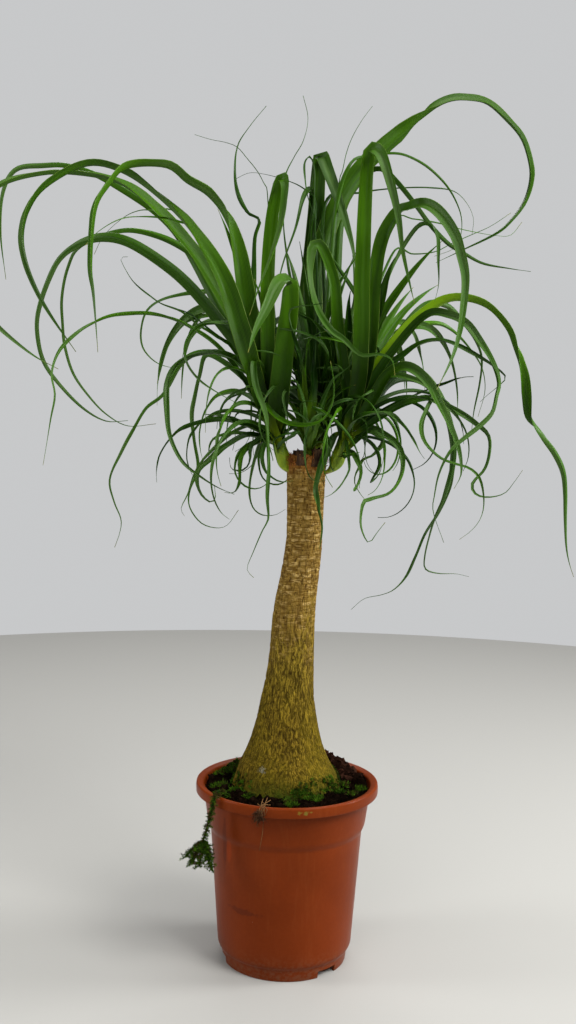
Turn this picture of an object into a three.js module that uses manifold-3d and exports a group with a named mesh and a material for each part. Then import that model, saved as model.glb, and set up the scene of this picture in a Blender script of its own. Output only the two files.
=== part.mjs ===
// A potted ponytail palm: a nursery pot, soil, a swollen trunk and four leafy shoots.
// Millimetres. +X right, +Y away from the front, +Z up. The origin is on the floor, on the pot's axis.
import * as THREE from 'three';
import { mergeVertices } from 'three/addons/utils/BufferGeometryUtils.js';
import Module from 'manifold-3d';

const wasm = await Module();
wasm.setup();

// Driving dimensions of the pot
const CM = 10;
const POT_SIDES = 36;
const POT_HEIGHT = 210;
const RIM_RADIUS = 106;
const RIM_HEIGHT = 13.5;
const RIM_WIDTH = 9;
const WALL = 1.8;
const FOOT_RADIUS = 72;
const FOOT_WIDTH = 3;
const CORNER_HEIGHT = 19;
const CORNER_RADIUS = 79;
const STEP_HEIGHT = 148;
const STEP_RADIUS = 88;
const COLLAR_HEIGHT = 155;
const COLLAR_RADIUS = 91.5;
const BASE_UNDERSIDE = 9;
const BASE_THICK = 2;
const NOTCH_HEIGHT = 8;
// Middles of the notches in degrees from the front towards the right, and what each one spans
const NOTCH_MIDDLES = [42.5, 162.5, 282.5];
const NOTCH_SPAN = 21;
const DRAIN_RADIUS = 5;
const DRAIN_RING = 46;
const DRAIN_COUNT = 6;

// Section of the rolled rim from its hollow underside to its inner edge, as [in from the rim's
// radius, down from the top], then the rounding of the bottom corner outside and inside
const RIM_UNDER = WALL + 1;
const RIM_SECTION = [
  [WALL + 0.6, RIM_UNDER], [WALL, RIM_HEIGHT], [0.4, RIM_HEIGHT], [0, 6], [1.2, 1.6], [3, 0],
  [RIM_WIDTH - 1, 0],
];
const FOOT_FLARE = 1;
const CORNER_ROUND = 4;
const INNER_CORNER = [4.5, 5];
const INNER_FLOOR = 1.5;

// Clearance between two pieces that touch on the real plant
const GAP = 0.35;

// Soil surface, with the peat lumps as [x, y, height, spread]
const SOIL_LEVEL = 194;
const SOIL_TOP = 235;
const SOIL_RIPPLE = 1.1;
const SOIL_RINGS = 5;
const SOIL_INSET = 1.2;
const SOIL_MIDDLE = 50;
const SOIL_LUMPS = [
  [58, 52, 25, 15], [34, 70, 22, 14], [78, 26, 14, 12], [-55, 42, 13, 15], [-72, 10, 8, 12],
  [20, -76, 5, 12], [60, -50, 6, 14], [-44, -60, 3, 14],
];

// Trunk: [height, middle x, radius] from the buried foot to the cut top, then the bark's relief: how
// many flutes go round the foot, how high they reach, and how deep they and the leaf scars are
const TRUNK = [
  [118, 0, 24], [140, 0, 46], [160, 0, 58], [180, 0, 63], [195, 0, 61.5], [205, -1, 59],
  [217, -1.5, 55], [230, -3, 50], [243, -3, 44.5], [256, -3, 40.5], [270, -2.5, 37.5],
  [287, -2, 33.5], [305, -1.5, 30.5], [325, 0, 28], [347, 1.5, 26.2], [370, 2.5, 25],
  [395, 4, 24.2], [420, 7, 22.6], [445, 11, 21], [470, 13.2, 20.6], [495, 14.3, 20.6],
  [520, 14.8, 21], [545, 15, 21.8], [568, 15, 22.4], [587, 15, 22],
];
const FLUTES = [[7, 0.9, 0.012], [15, 0.6, -0.02]];
const FLUTES_FADE = [230, 420];
const SCAR_DEPTH = 0.45;
const SCAR_PITCH = 11.5;
const HOLE_SPARE = 2.2;
const TRUNK_SIDES = 24;
const TRUNK_STEP = 19;
const CUT_DEPTH = 7;
const CUT_LIP = 4;

// Where the eye stands from which the leaves' outlines below were drawn
const EYE = new THREE.Vector3(-5, -1294, 610);

// Leaf blades: thickness, least width, and how the width grows out of the sheath and tapers to the tip
const BLADE_THICK = 0.8;
const TIP_WIDTH = 1.3;
const SHEATH_SHARE = 0.45;
const SHEATH_LENGTH = 0.16;
const TAPER = 2.4;

// How far the blades face the sky, against 1 for how far they face the front, and how nearly a leaf
// may run along that direction before its blade keeps the facing that it had
const SKYWARD = 0.6;
const TRUSTED = [0.15, 0.5];
const TUBE_FACED = new THREE.Vector3(0.31, 0.83, 0.22);

// A blade's steps: fine samples, and the length and the turn in degrees that one step covers
const FINE_STEPS = 160;
const SEGMENT_LENGTH = 100;
const SEGMENT_TURN = 50;

// The bends tried for each leaf, nearer to the eye or farther off, what a millimetre of bend costs
// against a cubic millimetre of crossing, and the volume under which nothing is crossed
const BENDS = [0, 9, -9, 18, -18, 28, -28, 40, -40, 54, -54];
const BEND_COST = 0.15;
const TOUCH = 1e-6;

const TERRACOTTA = 0x9c4a26;
const PEAT = 0x1d1511;
const BARK = 0x8a7a45;
const LEAF = 0x2f6a17;
const YOUNG_LEAF = 0x5f9a24;
const MOSS = 0x35551b;

// A number from 0 to 1 that looks random and is always the same for the same seed and index
function draw(seed, index) {
  const value = Math.sin(seed * 12.9898 + index * 78.233) * 43758.5453;
  return value - Math.floor(value);
}

const mix = (a, b, t) => a + (b - a) * t;
const ramp = (a, b, v) => Math.min(1, Math.max(0, (v - a) / (b - a)));
const smoothRamp = (a, b, v) => ramp(a, b, v) ** 2 * (3 - 2 * ramp(a, b, v));

// The value at t, from 0 to 1, of a list spread evenly along the way
function along(list, t) {
  const place = t * (list.length - 1);
  const index = Math.min(list.length - 2, Math.floor(place));
  return list.length === 1 ? list[0] : mix(list[index], list[index + 1], place - index);
}

// Solids

function toManifold(geometry) {
  const bare = geometry.clone();
  bare.deleteAttribute('normal');
  bare.deleteAttribute('uv');
  const merged = mergeVertices(bare);
  return new wasm.Manifold(new wasm.Mesh({
    numProp: 3,
    vertProperties: Float32Array.from(merged.attributes.position.array),
    triVerts: Uint32Array.from(merged.index.array),
  }));
}

function toGeometry(manifold) {
  const mesh = manifold.getMesh();
  const geometry = new THREE.BufferGeometry();
  geometry.setAttribute('position', new THREE.BufferAttribute(mesh.vertProperties, 3));
  geometry.setIndex(new THREE.BufferAttribute(mesh.triVerts, 1));
  const flat = geometry.toNonIndexed();
  flat.computeVertexNormals();
  return flat;
}

// The main body of a solid: small hollows that crossing leaves seal are filled, loose scraps dropped
function oneBody(solid) {
  return solid.decompose().reduce((most, body) => (body.volume() > most.volume() ? body : most));
}

// A closed solid through rings of points, each ring running anticlockwise about the way ahead. With
// alike, for a blade, the two broad faces of a step are split along the same diagonal.
function loft(rings, alike = false) {
  const count = rings[0].length;
  const points = rings.flat();
  const index = [];
  const quad = (a, b, c, d, turned) => {
    if (turned) index.push(a, b, d, b, c, d);
    else index.push(a, b, c, a, c, d);
  };
  for (let i = 0; i < rings.length - 1; i += 1) {
    for (let j = 0; j < count; j += 1) {
      const next = (j + 1) % count;
      const low = i * count;
      const high = low + count;
      quad(low + j, low + next, high + next, high + j, alike && j === 2);
    }
  }
  const last = (rings.length - 1) * count;
  for (let j = 1; j < count - 1; j += 1) {
    index.push(0, j + 1, j);
    index.push(last, last + j, last + j + 1);
  }
  const geometry = new THREE.BufferGeometry().setFromPoints(points);
  geometry.setIndex(index);
  return geometry;
}

// Unit vectors across the way at each point, at right angles to it and to the direction faced. Where
// the way runs nearly along that direction, the last vector is held instead.
function crossings(points, faced) {
  const sides = [];
  const ways = points.map((point, i) => {
    const before = points[Math.max(0, i - 1)];
    const after = points[Math.min(points.length - 1, i + 1)];
    return after.clone().sub(before).normalize();
  });
  ways.forEach((way, i) => {
    const side = way.clone().cross(faced);
    if (i > 0) {
      const held = sides[i - 1].clone().addScaledVector(way, -sides[i - 1].dot(way)).normalize();
      const trust = smoothRamp(...TRUSTED, side.length());
      if (side.dot(held) < 0) side.negate();
      side.normalize().multiplyScalar(trust).addScaledVector(held, 1 - trust);
    }
    sides.push(side.normalize());
  });
  return { ways, sides };
}

// A round tube through points with a radius at each
function tube(points, radii, sideCount) {
  const { ways, sides } = crossings(points, TUBE_FACED);
  return loft(points.map((point, i) => {
    const up = ways[i].clone().cross(sides[i]);
    return Array.from({ length: sideCount }, (_, j) => {
      const turn = (j / sideCount) * 2 * Math.PI;
      return point.clone()
        .addScaledVector(sides[i], radii[i] * Math.cos(turn))
        .addScaledVector(up, radii[i] * Math.sin(turn));
    });
  }));
}

// Pot

function wallRadius(height) {
  if (height > COLLAR_HEIGHT) {
    return mix(COLLAR_RADIUS, RIM_RADIUS - RIM_WIDTH, ramp(COLLAR_HEIGHT, POT_HEIGHT, height));
  }
  if (height > STEP_HEIGHT) {
    return mix(STEP_RADIUS, COLLAR_RADIUS, ramp(STEP_HEIGHT, COLLAR_HEIGHT, height));
  }
  return mix(CORNER_RADIUS, STEP_RADIUS, ramp(CORNER_HEIGHT, STEP_HEIGHT, height));
}

// Heights where the wall changes, from the bottom corner up to the rim
const WALL_HEIGHTS = [CORNER_HEIGHT + 2, STEP_HEIGHT, COLLAR_HEIGHT, POT_HEIGHT - 4];

function lathe(profile) {
  return new THREE.LatheGeometry(profile.map(([r, z]) => new THREE.Vector2(r, z)), POT_SIDES)
    .rotateX(Math.PI / 2);
}

function makePot() {
  const baseTop = BASE_UNDERSIDE + BASE_THICK;
  const inside = [...WALL_HEIGHTS].reverse().map((z) => [wallRadius(z) - WALL, z]);
  const outside = WALL_HEIGHTS.slice(0, -1).map((z) => [wallRadius(z), z]);
  const rim = RIM_SECTION.map(([inward, down]) => [RIM_RADIUS - inward, POT_HEIGHT - down]);
  const profile = [
    [0, BASE_UNDERSIDE], [FOOT_RADIUS - FOOT_WIDTH, BASE_UNDERSIDE],
    [FOOT_RADIUS - FOOT_WIDTH, 0], [FOOT_RADIUS, 0],
    [FOOT_RADIUS + FOOT_FLARE, CORNER_HEIGHT - CORNER_ROUND], [CORNER_RADIUS - 1, CORNER_HEIGHT - 1],
    ...outside, [wallRadius(POT_HEIGHT - RIM_UNDER), POT_HEIGHT - RIM_UNDER], ...rim, ...inside,
    [CORNER_RADIUS - INNER_CORNER[0], baseTop + INNER_CORNER[1]],
    [FOOT_RADIUS - INNER_FLOOR, baseTop], [0, baseTop],
  ];
  let pot = toManifold(lathe(profile));
  for (const middle of NOTCH_MIDDLES) {
    const length = 2 * FOOT_RADIUS * Math.sin(((NOTCH_SPAN / 2) * Math.PI) / 180);
    const notch = new THREE.BoxGeometry(12, length, 2 * NOTCH_HEIGHT)
      .translate(FOOT_RADIUS, 0, 0)
      .rotateZ(((middle - 90) * Math.PI) / 180);
    pot = pot.subtract(toManifold(notch));
  }
  for (let i = 0; i < DRAIN_COUNT; i += 1) {
    const turn = (i / DRAIN_COUNT) * 2 * Math.PI;
    const drain = new THREE.CylinderGeometry(DRAIN_RADIUS, DRAIN_RADIUS, 4 * BASE_THICK, 12)
      .rotateX(Math.PI / 2)
      .translate(DRAIN_RING * Math.cos(turn), DRAIN_RING * Math.sin(turn), BASE_UNDERSIDE);
    pot = pot.subtract(toManifold(drain));
  }
  return pot;
}

// Trunk

function trunkAt(height) {
  const index = TRUNK.findIndex((row, i) => i === TRUNK.length - 1 || height < TRUNK[i + 1][0]);
  const low = TRUNK[Math.min(index, TRUNK.length - 2)];
  const high = TRUNK[Math.min(index, TRUNK.length - 2) + 1];
  const t = (height - low[0]) / (high[0] - low[0]);
  return { middle: mix(low[1], high[1], t), radius: mix(low[2], high[2], t) };
}

// Relief of the bark: broad flutes low down, rings of old leaf scars higher up
function bark(height, turn) {
  const low = 1 - smoothRamp(...FLUTES_FADE, height);
  const flutes = FLUTES.reduce(
    (sum, [count, deep, lean]) => sum + deep * Math.sin(count * turn + lean * height), 0);
  const scars = SCAR_DEPTH * Math.sin((2 * Math.PI * height) / SCAR_PITCH + 1.5 * Math.sin(2 * turn));
  return low * flutes + (1 - low) * scars;
}

function trunkRing(height, inset) {
  const { middle, radius } = trunkAt(height);
  return Array.from({ length: TRUNK_SIDES }, (_, j) => {
    const turn = (j / TRUNK_SIDES) * 2 * Math.PI;
    const reach = radius - inset + (inset > 0 ? 0 : bark(height, turn));
    return new THREE.Vector3(middle + reach * Math.cos(turn), reach * Math.sin(turn), height);
  });
}

function makeTrunk() {
  const foot = TRUNK[0][0];
  const top = TRUNK[TRUNK.length - 1][0];
  const steps = Math.round((top - foot) / TRUNK_STEP);
  const rings = Array.from({ length: steps + 1 }, (_, i) => trunkRing(mix(foot, top, i / steps), 0));
  const lip = trunkRing(top, CUT_LIP);
  const floor = trunkRing(top, CUT_LIP + 2).map((point) => point.setZ(top - CUT_DEPTH));
  return toManifold(loft([...rings, lip, floor]));
}

// Soil: it fills the pot's inside and has a plain hole for the trunk's foot

function soilHeight(x, y) {
  const lumps = SOIL_LUMPS.reduce((sum, [lx, ly, high, spread]) => {
    const away = ((x - lx) ** 2 + (y - ly) ** 2) / (2 * spread ** 2);
    return sum + high * Math.exp(-away);
  }, 0);
  const ripple = SOIL_RIPPLE * Math.sin(x * 0.13 + 1.7) * Math.sin(y * 0.11 + 0.4);
  return SOIL_LEVEL + lumps + ripple;
}

function makeSoil() {
  const bottom = BASE_UNDERSIDE + BASE_THICK + GAP;
  const inner = (z) => wallRadius(z) - WALL - GAP;
  const profile = [
    [FOOT_RADIUS - INNER_FLOOR - SOIL_INSET, bottom],
    [CORNER_RADIUS - INNER_CORNER[0] - SOIL_INSET, bottom + INNER_CORNER[1]],
    ...WALL_HEIGHTS.slice(0, -1).map((z) => [inner(z), z]),
  ];
  const ring = (radius, height) => Array.from({ length: POT_SIDES }, (_, j) => {
    const turn = (j / POT_SIDES) * 2 * Math.PI;
    const x = radius * Math.sin(turn + Math.PI);
    const y = -radius * Math.cos(turn + Math.PI);
    return new THREE.Vector3(x, y, height ?? soilHeight(x, y));
  });
  const rings = profile.map(([r, z]) => ring(r, z));
  for (let i = 0; i < SOIL_RINGS; i += 1) {
    rings.push(ring(mix(inner(SOIL_LEVEL) - GAP, SOIL_MIDDLE, i / (SOIL_RINGS - 1))));
  }
  const foot = TRUNK.filter(([height]) => height < SOIL_TOP);
  const places = foot.map(([height, middle]) => new THREE.Vector3(middle, 0, height));
  places[0].z -= GAP;
  const socket = tube(places, foot.map(([, , radius]) => radius + HOLE_SPARE), TRUNK_SIDES);
  return toManifold(loft(rings)).subtract(toManifold(socket));
}

// Shoots: [x, y, z] of the root in the trunk, the bulge at its side and the top of the sheaths, in
// centimetres, with the radius at each. The leaves start between the bulge and the top.
const SHOOTS = {
  left: {
    stem: [
      [0.5, -0.1, 56.3, 0.5], [-0.9, -0.4, 57.3, 0.75], [-1.2, -0.5, 58.6, 0.95],
      [-1.7, -0.6, 60.3, 0.8], [-2.2, -0.6, 63, 0.5],
    ],
    colour: LEAF,
  },
  right: {
    stem: [
      [2.6, -0.1, 56.3, 0.5], [4.5, -0.4, 57.2, 0.75], [5.1, -0.5, 58.5, 0.95],
      [5.6, -0.5, 60.3, 0.8], [6.1, -0.5, 63, 0.5],
    ],
    colour: LEAF,
  },
  young: {
    stem: [
      [1.6, -0.6, 57, 0.35], [1.65, -0.7, 58.6, 0.5], [1.7, -0.8, 60.2, 0.45], [1.8, -0.8, 61.8, 0.3],
    ],
    colour: YOUNG_LEAF,
  },
  back: {
    stem: [
      [2.2, 0.8, 56.6, 0.45], [2.5, 1.2, 57.9, 0.6], [2.8, 1.5, 59.4, 0.75],
      [3.2, 1.8, 61.2, 0.65], [3.7, 2, 63.5, 0.4],
    ],
    colour: LEAF,
  },
};
const STEM_SIDES = 10;
const ROOT_SHIFT = 0.45;

// Drawn leaves, in centimetres: [shoot, width, depths, turns, outline]. The outline gives x and height
// from the root to the tip as the eye sees them on the upright plane through the trunk. The depths
// (minus is nearer the eye) and the turns of the blade in degrees are spread evenly along the leaf.
const DRAWN = [
  ['left', 2.2, [-7, -13, -17, -19, -21], [0, 0, 50, -20], [
    -4, 65.4, -5.6, 70.5, -8.3, 78.2, -12, 84, -16, 87.9, -20, 90.4, -24, 91, -28.5, 88.6,
    -30.5, 86, -31.2, 83, -30.7, 80, -29.3, 76.5, -27.5, 73.5, -25, 70]],
  ['left', 2.1, [-5, -13, -19, -24.6], [0, 0, 20, 10], [
    -3.7, 67.3, -5, 72.5, -6.5, 80.5, -8, 85.2, -10, 87.8, -12.5, 89.3, -15, 91, -19.5, 90.8,
    -21.5, 88.8, -23, 86, -23.4, 80, -23, 76.5, -22.5, 70]],
  ['left', 2.1, [-3, -8, -11, -10], [10, 20, 40, 0], [
    -10, 79, -13.5, 83.5, -17, 87, -20.5, 89.2, -25, 90, -29, 89.9, -33.5, 88.6, -36, 86, -37, 82,
    -36.8, 77.5, -35.5, 74.5, -33.6, 72.4, -30, 69.6, -27, 68]],
  ['left', 1.3, [1, 1, 2, 3], [15, 30, 10], [
    -8, 74, -14, 84, -20.9, 89, -25.5, 90.8, -29, 90.8, -32, 90.2, -33.4, 87.5, -33.6, 83,
    -33, 78]],
  ['left', 0.9, [6, 12, 15, 13], [0, 30, 0], [
    -8.5, 78, -12, 81.3, -16, 83.3, -20, 83.8, -24.5, 82, -26, 79.5, -26.7, 76, -26.6, 73,
    -26.3, 70.5, -25.3, 67.5, -23.5, 65, -21.5, 63, -19, 61.7, -15.8, 62]],
  ['left', 1.4, [2, 8, 10, 6], [10, 30, -10], [
    -5, 69, -8.5, 73.5, -12, 77.5, -15, 80, -19, 82.4, -22, 83, -24.7, 82.3, -27, 80.5, -28.5, 77.5,
    -29.5, 74, -29.4, 71, -28.5, 68.3, -26.5, 65.8, -24, 63.5, -21.5, 62.2, -19, 62.3]],
  ['left', 0.5, [-8, -16, -18], [0], [
    -11, 83, -13.5, 84.8, -17, 85.3, -20, 85, -22.5, 83.6, -24, 82]],
  ['left', 0.35, [4, 8, 10], [0], [
    -12.8, 85, -16.5, 86, -18.5, 85.8, -20.2, 84.8, -22, 83, -23, 81]],
  ['left', 0.7, [-4, -12, -16, -17], [0, 40, 0], [
    -5, 66, -8.5, 70.5, -12, 73, -15, 74.2, -18.5, 74.4, -22, 73.8, -25, 72, -27, 70, -27.8, 67.5,
    -27.4, 65, -27.8, 62.5, -28.2, 60, -28.7, 57]],
  ['left', 1, [-5, -9, -10, -8], [0, 30, 10], [
    -5, 68, -8, 70, -11, 70, -13.5, 68.8, -14.5, 66.5, -14.6, 63.5, -14.2, 60.5, -12.7, 57.7,
    -10.5, 56, -8.5, 54.8, -6.7, 54.1]],
  ['left', 0.8, [3, 8, 12, 13], [0, 30, 0], [
    -4, 66, -7, 69.5, -10.5, 70.2, -13, 69, -15, 65.5, -17, 63.8, -18.6, 61, -19.8, 58.5, -21, 55.5,
    -20.5, 53, -19.7, 51, -19.8, 49.5, -20.4, 47.7]],
  ['left', 0.8, [-6, -10, -10], [0, 30], [
    -6, 72.8, -9, 73.5, -11.3, 73, -12.6, 71, -12.3, 69, -10.8, 67, -8.5, 65.5, -6.5, 64.5]],
  ['left', 0.9, [-3, -5], [30, 20], [-4, 61.4, -6, 62.3, -8, 63, -10.4, 63.2]],
  ['left', 0.9, [-3, -4, -4, -3], [30, 10, 0], [
    -5, 60.9, -7.5, 59.7, -9.5, 58.2, -11, 56.6, -10.6, 54.3, -9.5, 53.2, -8.9, 53.6, -9, 55]],
  ['left', 0.5, [2, 4, 5], [0], [-5, 62, -8, 60.4, -11, 57, -12, 54.1, -12.8, 52.4, -12.4, 51.5]],
  ['left', 0.7, [4, 6, 5, 3], [0, 40, 0], [
    -6, 67.5, -10, 70, -11, 67.5, -11.5, 65, -11.7, 63, -11.3, 60, -10.9, 57, -11.9, 54.5,
    -11.8, 52.5, -10.6, 50.8, -9, 50.2, -7.5, 50.5, -6.2, 52.3]],
  ['left', 0.8, [-3, -5, -5, -4], [0, 20, 0], [
    -3.2, 66, -4.1, 69, -4.7, 69.2, -4.4, 66.5, -3.3, 63, -2.9, 58, -2.9, 54, -2.7, 51.5, -3.4, 50,
    -4.4, 47.5, -5.1, 45.5, -4.3, 44.5]],
  ['left', 0.4, [1, 3, 4.5, 4.5], [0], [
    -3.5, 60.6, -4.6, 57.5, -5, 55, -4.6, 52.8, -3.5, 51.8, -2, 51.8, -0.8, 52.5]],
  ['left', 0.6, [-2, -3.6, -3.6], [0], [-3.6, 59, -3.2, 57, -2, 55.9, -1, 55.6, 0, 55.8]],
  ['left', 1.6, [-3, -6, -9, -12], [0, 30, 0], [
    -2.8, 66, -3.2, 72, -3.3, 79, -3, 85, -2.3, 89, -1.7, 89.9, -1.4, 88.5, -1.8, 85, -3, 81,
    -4.3, 77.5, -5.3, 74.5]],
  ['left', 0.9, [1, 3, 5], [0], [
    -4.8, 70, -5, 78, -4.9, 83, -4.4, 85.2, -5.8, 86, -6.8, 88, -7.2, 91, -6.9, 93.5, -5.5, 95.7,
    -3.8, 97.8]],
  ['left', 0.6, [-2.5, -5, -5.5, -5], [0], [
    -3.5, 64.5, -2.2, 63.2, -0.5, 62.4, 1.5, 62.2, 3, 62.6, 4, 63.8, 4.5, 65.5, 4.4, 67.5,
    4, 69.5]],
  ['left', 0.3, [3, 6, 8], [0], [
    -3, 80, -3.5, 88, -3.9, 89.2, -4.7, 90.6, -5.9, 92, -7, 93.2, -8.3, 93.7, -10, 94,
    -11.8, 94.5]],
  ['left', 0.6, [4, 8], [0], [-6, 70, -8, 71.5, -10, 73, -12, 74.5, -15, 75.5]],
  ['left', 0.8, [5, 10, 13, 14], [0, 30], [
    -5, 70, -8.5, 76.8, -10.5, 77, -13, 76.8, -15.5, 76, -17, 74.8, -17.6, 73, -17.6, 71.3, -17, 70,
    -15.5, 68.8, -13, 68.2]],
  ['left', 0.5, [-6, -12, -14], [0], [
    -7, 70.5, -9, 72, -11, 73.2, -13, 74.7, -15.3, 75.6, -17, 76.7, -18.5, 78, -19.4, 79.3,
    -20, 80.6, -19.2, 80.8]],
  ['left', 1.8, [-2, -4, -7, -10], [0], [
    -1.7, 66, -1.2, 71.3, -0.8, 75.2, -0.9, 78.3, -2, 78.2, -3.3, 75.5, -4.6, 72.8, -5.4, 70.3]],
  ['right', 1.8, [-2, -5, -9, -14], [0, 20, 0], [
    7.1, 66.2, 7.4, 71, 7.4, 80.4, 7.6, 90, 8, 93.2, 9, 93, 9.8, 91.5, 10.8, 88.5, 11.5, 85.5,
    12, 82, 12.8, 78.5, 13.4, 76.2]],
  ['right', 1.6, [-5, -12, -18, -25], [0, 25, 0], [
    7.6, 66.5, 8.4, 71.5, 8.8, 79.1, 9.5, 83.3, 11.2, 86.2, 12.5, 86.9, 14.2, 87.3, 16, 86.3,
    17.8, 84, 18.7, 81.5, 19.2, 79, 19, 76, 18.6, 73, 17.8, 70, 16.2, 66.5]],
  ['right', 1.1, [-3, -8, -12], [0], [
    9, 74, 10.5, 79.5, 12, 82.5, 13.7, 84.8, 15, 84.9, 15.8, 83.5, 16, 81, 16.1, 78.5, 15.7, 76.5]],
  ['right', 0.35, [4, 8, 10], [0], [
    9, 80, 11, 85.6, 13, 85.6, 16, 85.2, 18, 84.7, 20, 84.3, 22, 84, 24, 84, 25.3, 85.5]],
  ['right', 0.4, [6, 12, 14], [0], [
    8.6, 76, 11, 82, 13, 81.7, 15.5, 82, 17.5, 83, 19.7, 84, 21.8, 85, 24, 86.5]],
  ['right', 1.5, [-3, -4, 2, 8, 9], [0, 10, 50, 10, 20], [
    9.5, 69, 12, 72.5, 14.5, 75, 17, 76.6, 19.5, 76.7, 22, 75.8, 24, 73.7, 25, 71.5, 26, 68.5,
    26.5, 66, 27, 63.4, 28.5, 61.5, 30, 59.5, 31, 57.3, 31.3, 55, 31.4, 52, 31.6, 49, 32, 47,
    32.6, 45.3]],
  ['right', 1, [-6, -12, -14, -13], [0, 30, 0], [
    12, 72, 15, 75, 17.5, 75, 19.5, 74, 21, 72, 22.5, 69.5, 23.2, 67.5, 23, 66, 22.5, 64, 21, 62.3,
    19.5, 61, 18, 59.5, 16.8, 57, 16.3, 54.5, 16.2, 52.5, 17.5, 49]],
  ['right', 0.9, [3, 8, 12], [0, 30], [
    14, 75.5, 17, 76, 19, 74, 20.5, 72, 21.2, 70, 21, 67, 20.5, 64, 20.3, 61.5]],
  ['right', 0.8, [6, 12, 17], [0, 30], [
    10, 71, 13, 73.5, 16, 74, 18, 73, 20, 71, 21.3, 69, 21.7, 66.5, 21, 63.5]],
  ['right', 0.9, [-2, -5, -5], [30, 0], [
    9, 67.5, 12.5, 70.5, 14.5, 71.8, 16.5, 72.1, 18.5, 71.5, 20.5, 70.6, 22.3, 69.6, 24, 68.2,
    23.5, 67.3, 22, 66, 21.2, 65.2]],
  ['right', 1.3, [-6, -12, -15], [0, 30], [
    7, 62, 9, 65.5, 10.5, 68, 12.3, 69, 14, 68.5, 15.5, 67, 16.5, 65, 18, 62, 19, 59.5, 19.3, 57,
    18.5, 55.2]],
  ['right', 1, [4, 10, 13, 12], [0, 30, 0], [
    8, 62, 10.5, 66.5, 13, 67.5, 15.5, 66.5, 17.5, 63.5, 18.3, 60, 18.1, 57, 17.8, 55, 16.8, 52.5,
    15.3, 50, 14.3, 47.5, 13.3, 45, 12, 43.5, 10.5, 42.8, 8.5, 42.3, 7, 41]],
  ['right', 0.8, [8, 17, 20], [0], [
    9, 65, 13, 68.8, 16.5, 66, 18.3, 60, 17.5, 54.5, 16.5, 52, 15.9, 50, 15.4, 47.5, 15.5, 45.9,
    17, 45.4, 19, 45.4, 20.5, 45.1]],
  ['right', 0.7, [-8, -10, -9], [0, 30], [
    11, 68, 15.8, 66.5, 15.3, 64.5, 14.6, 62.6, 14.7, 61, 15.5, 59.8, 17, 58.6, 18.7, 58,
    20.3, 57.5, 21.5, 56.3, 22, 54, 21.7, 52, 20.7, 50.5, 19.3, 49.4]],
  ['right', 0.8, [-2, -4, -5, -6], [20, 0], [
    6.5, 61, 9, 62.7, 12, 64.6, 15, 65.5, 16.5, 65, 18.8, 64, 20.8, 62.8, 22.3, 61.5, 22.5, 59.5,
    22, 57.5, 20.6, 55.8, 21, 54.6, 22.5, 54.3, 24.3, 54.8, 25.3, 56, 26.3, 57.5]],
  ['right', 0.8, [-2, -6], [0], [
    7, 62.9, 8.6, 63.6, 10.5, 63.7, 12, 63, 13.3, 61.5, 14.3, 59.6, 15, 58.6]],
  ['right', 0.8, [-3, -6, -8, -8], [20, 30, 0], [
    8.5, 61.8, 10.3, 61.3, 12, 60, 12.7, 58, 12.2, 56, 11, 54.5, 9, 53.8, 8.1, 53.4, 7.8, 51.5,
    8.1, 50, 8.9, 48.8, 9.8, 50, 10.7, 51.2]],
  ['right', 0.7, [1, 3, 3], [20], [
    7, 61.3, 8.5, 61.5, 9.6, 61, 10.2, 60.3, 9.3, 59, 8, 58.3, 7.2, 56.8, 7.1, 55.6, 7.7, 54.5,
    8.3, 53.8]],
  ['right', 0.9, [-2.5, -3.6, -4, -3.8], [0], [
    4.7, 61, 4.2, 60, 3.4, 58, 2.9, 56, 2.7, 54.5, 3, 52.5, 3.4, 51, 3.4, 49.5, 3.2, 48]],
  ['right', 0.4, [-1.5, -2.6, -3], [0], [6.4, 57.6, 6, 56.3, 5.2, 55, 4.3, 54.2, 3.4, 53.9]],
  ['right', 0.9, [-1], [40], [6, 58.8, 7.6, 59.2]],
  ['back', 1.9, [3, 2, -2, -8], [0], [
    2, 66, 1.2, 74, 1.6, 80, 2, 86, 2.2, 91, 2.5, 92.4, 3.2, 91, 4.2, 88.5, 5.3, 85.5, 6.2, 82.5,
    6.7, 79.5]],
  ['back', 0.5, [4, 3, -2, -5], [0], [
    1.5, 76, 1.8, 88, 1.7, 91.2, 1.1, 92.3, 0.6, 91.2, 0.9, 88.5, 1.7, 86, 2.6, 84, 3.3, 82]],
  ['right', 1.3, [-2, -3, -7, -12], [0], [
    6, 64.9, 5.5, 68.8, 4.7, 74, 4.2, 78.4, 2.8, 82.2, 1.7, 82.4, 1.3, 80, 1.6, 77.5, 2.5, 75,
    4, 73, 5.5, 72, 7.5, 70.3, 9.5, 70.4, 11, 69.8, 11.4, 68]],
  ['back', 1.1, [5, 4, -2, -6], [0], [
    1.4, 76, 1.7, 86, 1.4, 88.5, 0.7, 88, -0.2, 84.5, -1.7, 80, -2.2, 77]],
  ['back', 1.8, [4, 6, 8, 9, 8], [0, 60, 20, 0], [
    3.2, 66.5, 2.2, 72, 1.9, 78, 3.3, 84, 5, 88, 7, 91, 9.5, 93.5, 12, 95.6, 15, 98, 17, 98.9,
    19, 99, 21, 98.6, 23, 97, 25, 94.8, 26, 92, 26.1, 90, 25.5, 87.8, 24.3, 86, 22.5, 84.3,
    18.5, 82.2, 15.7, 80.8]],
  ['back', 1.4, [4, 2, 0, -2], [0, 30], [
    5, 67.5, 4.8, 73, 4.5, 80, 5, 86.5, 7.5, 90.2, 9.2, 91, 10.8, 89.8, 13, 87.3, 15, 84.8,
    17, 82.9, 18.8, 81.9, 21, 80.8, 24, 80.3, 26.5, 80]],
  ['back', 0.7, [8, 12, 14, 14], [0], [
    4.2, 86, 5.8, 91.5, 8, 92.5, 10.9, 92.8, 13, 92.2, 15, 91, 17, 89, 18.3, 86.5, 18.5, 84.3,
    17.8, 82.5, 15.5, 81.5]],
  ['back', 0.5, [10, 17, 20], [0], [
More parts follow.
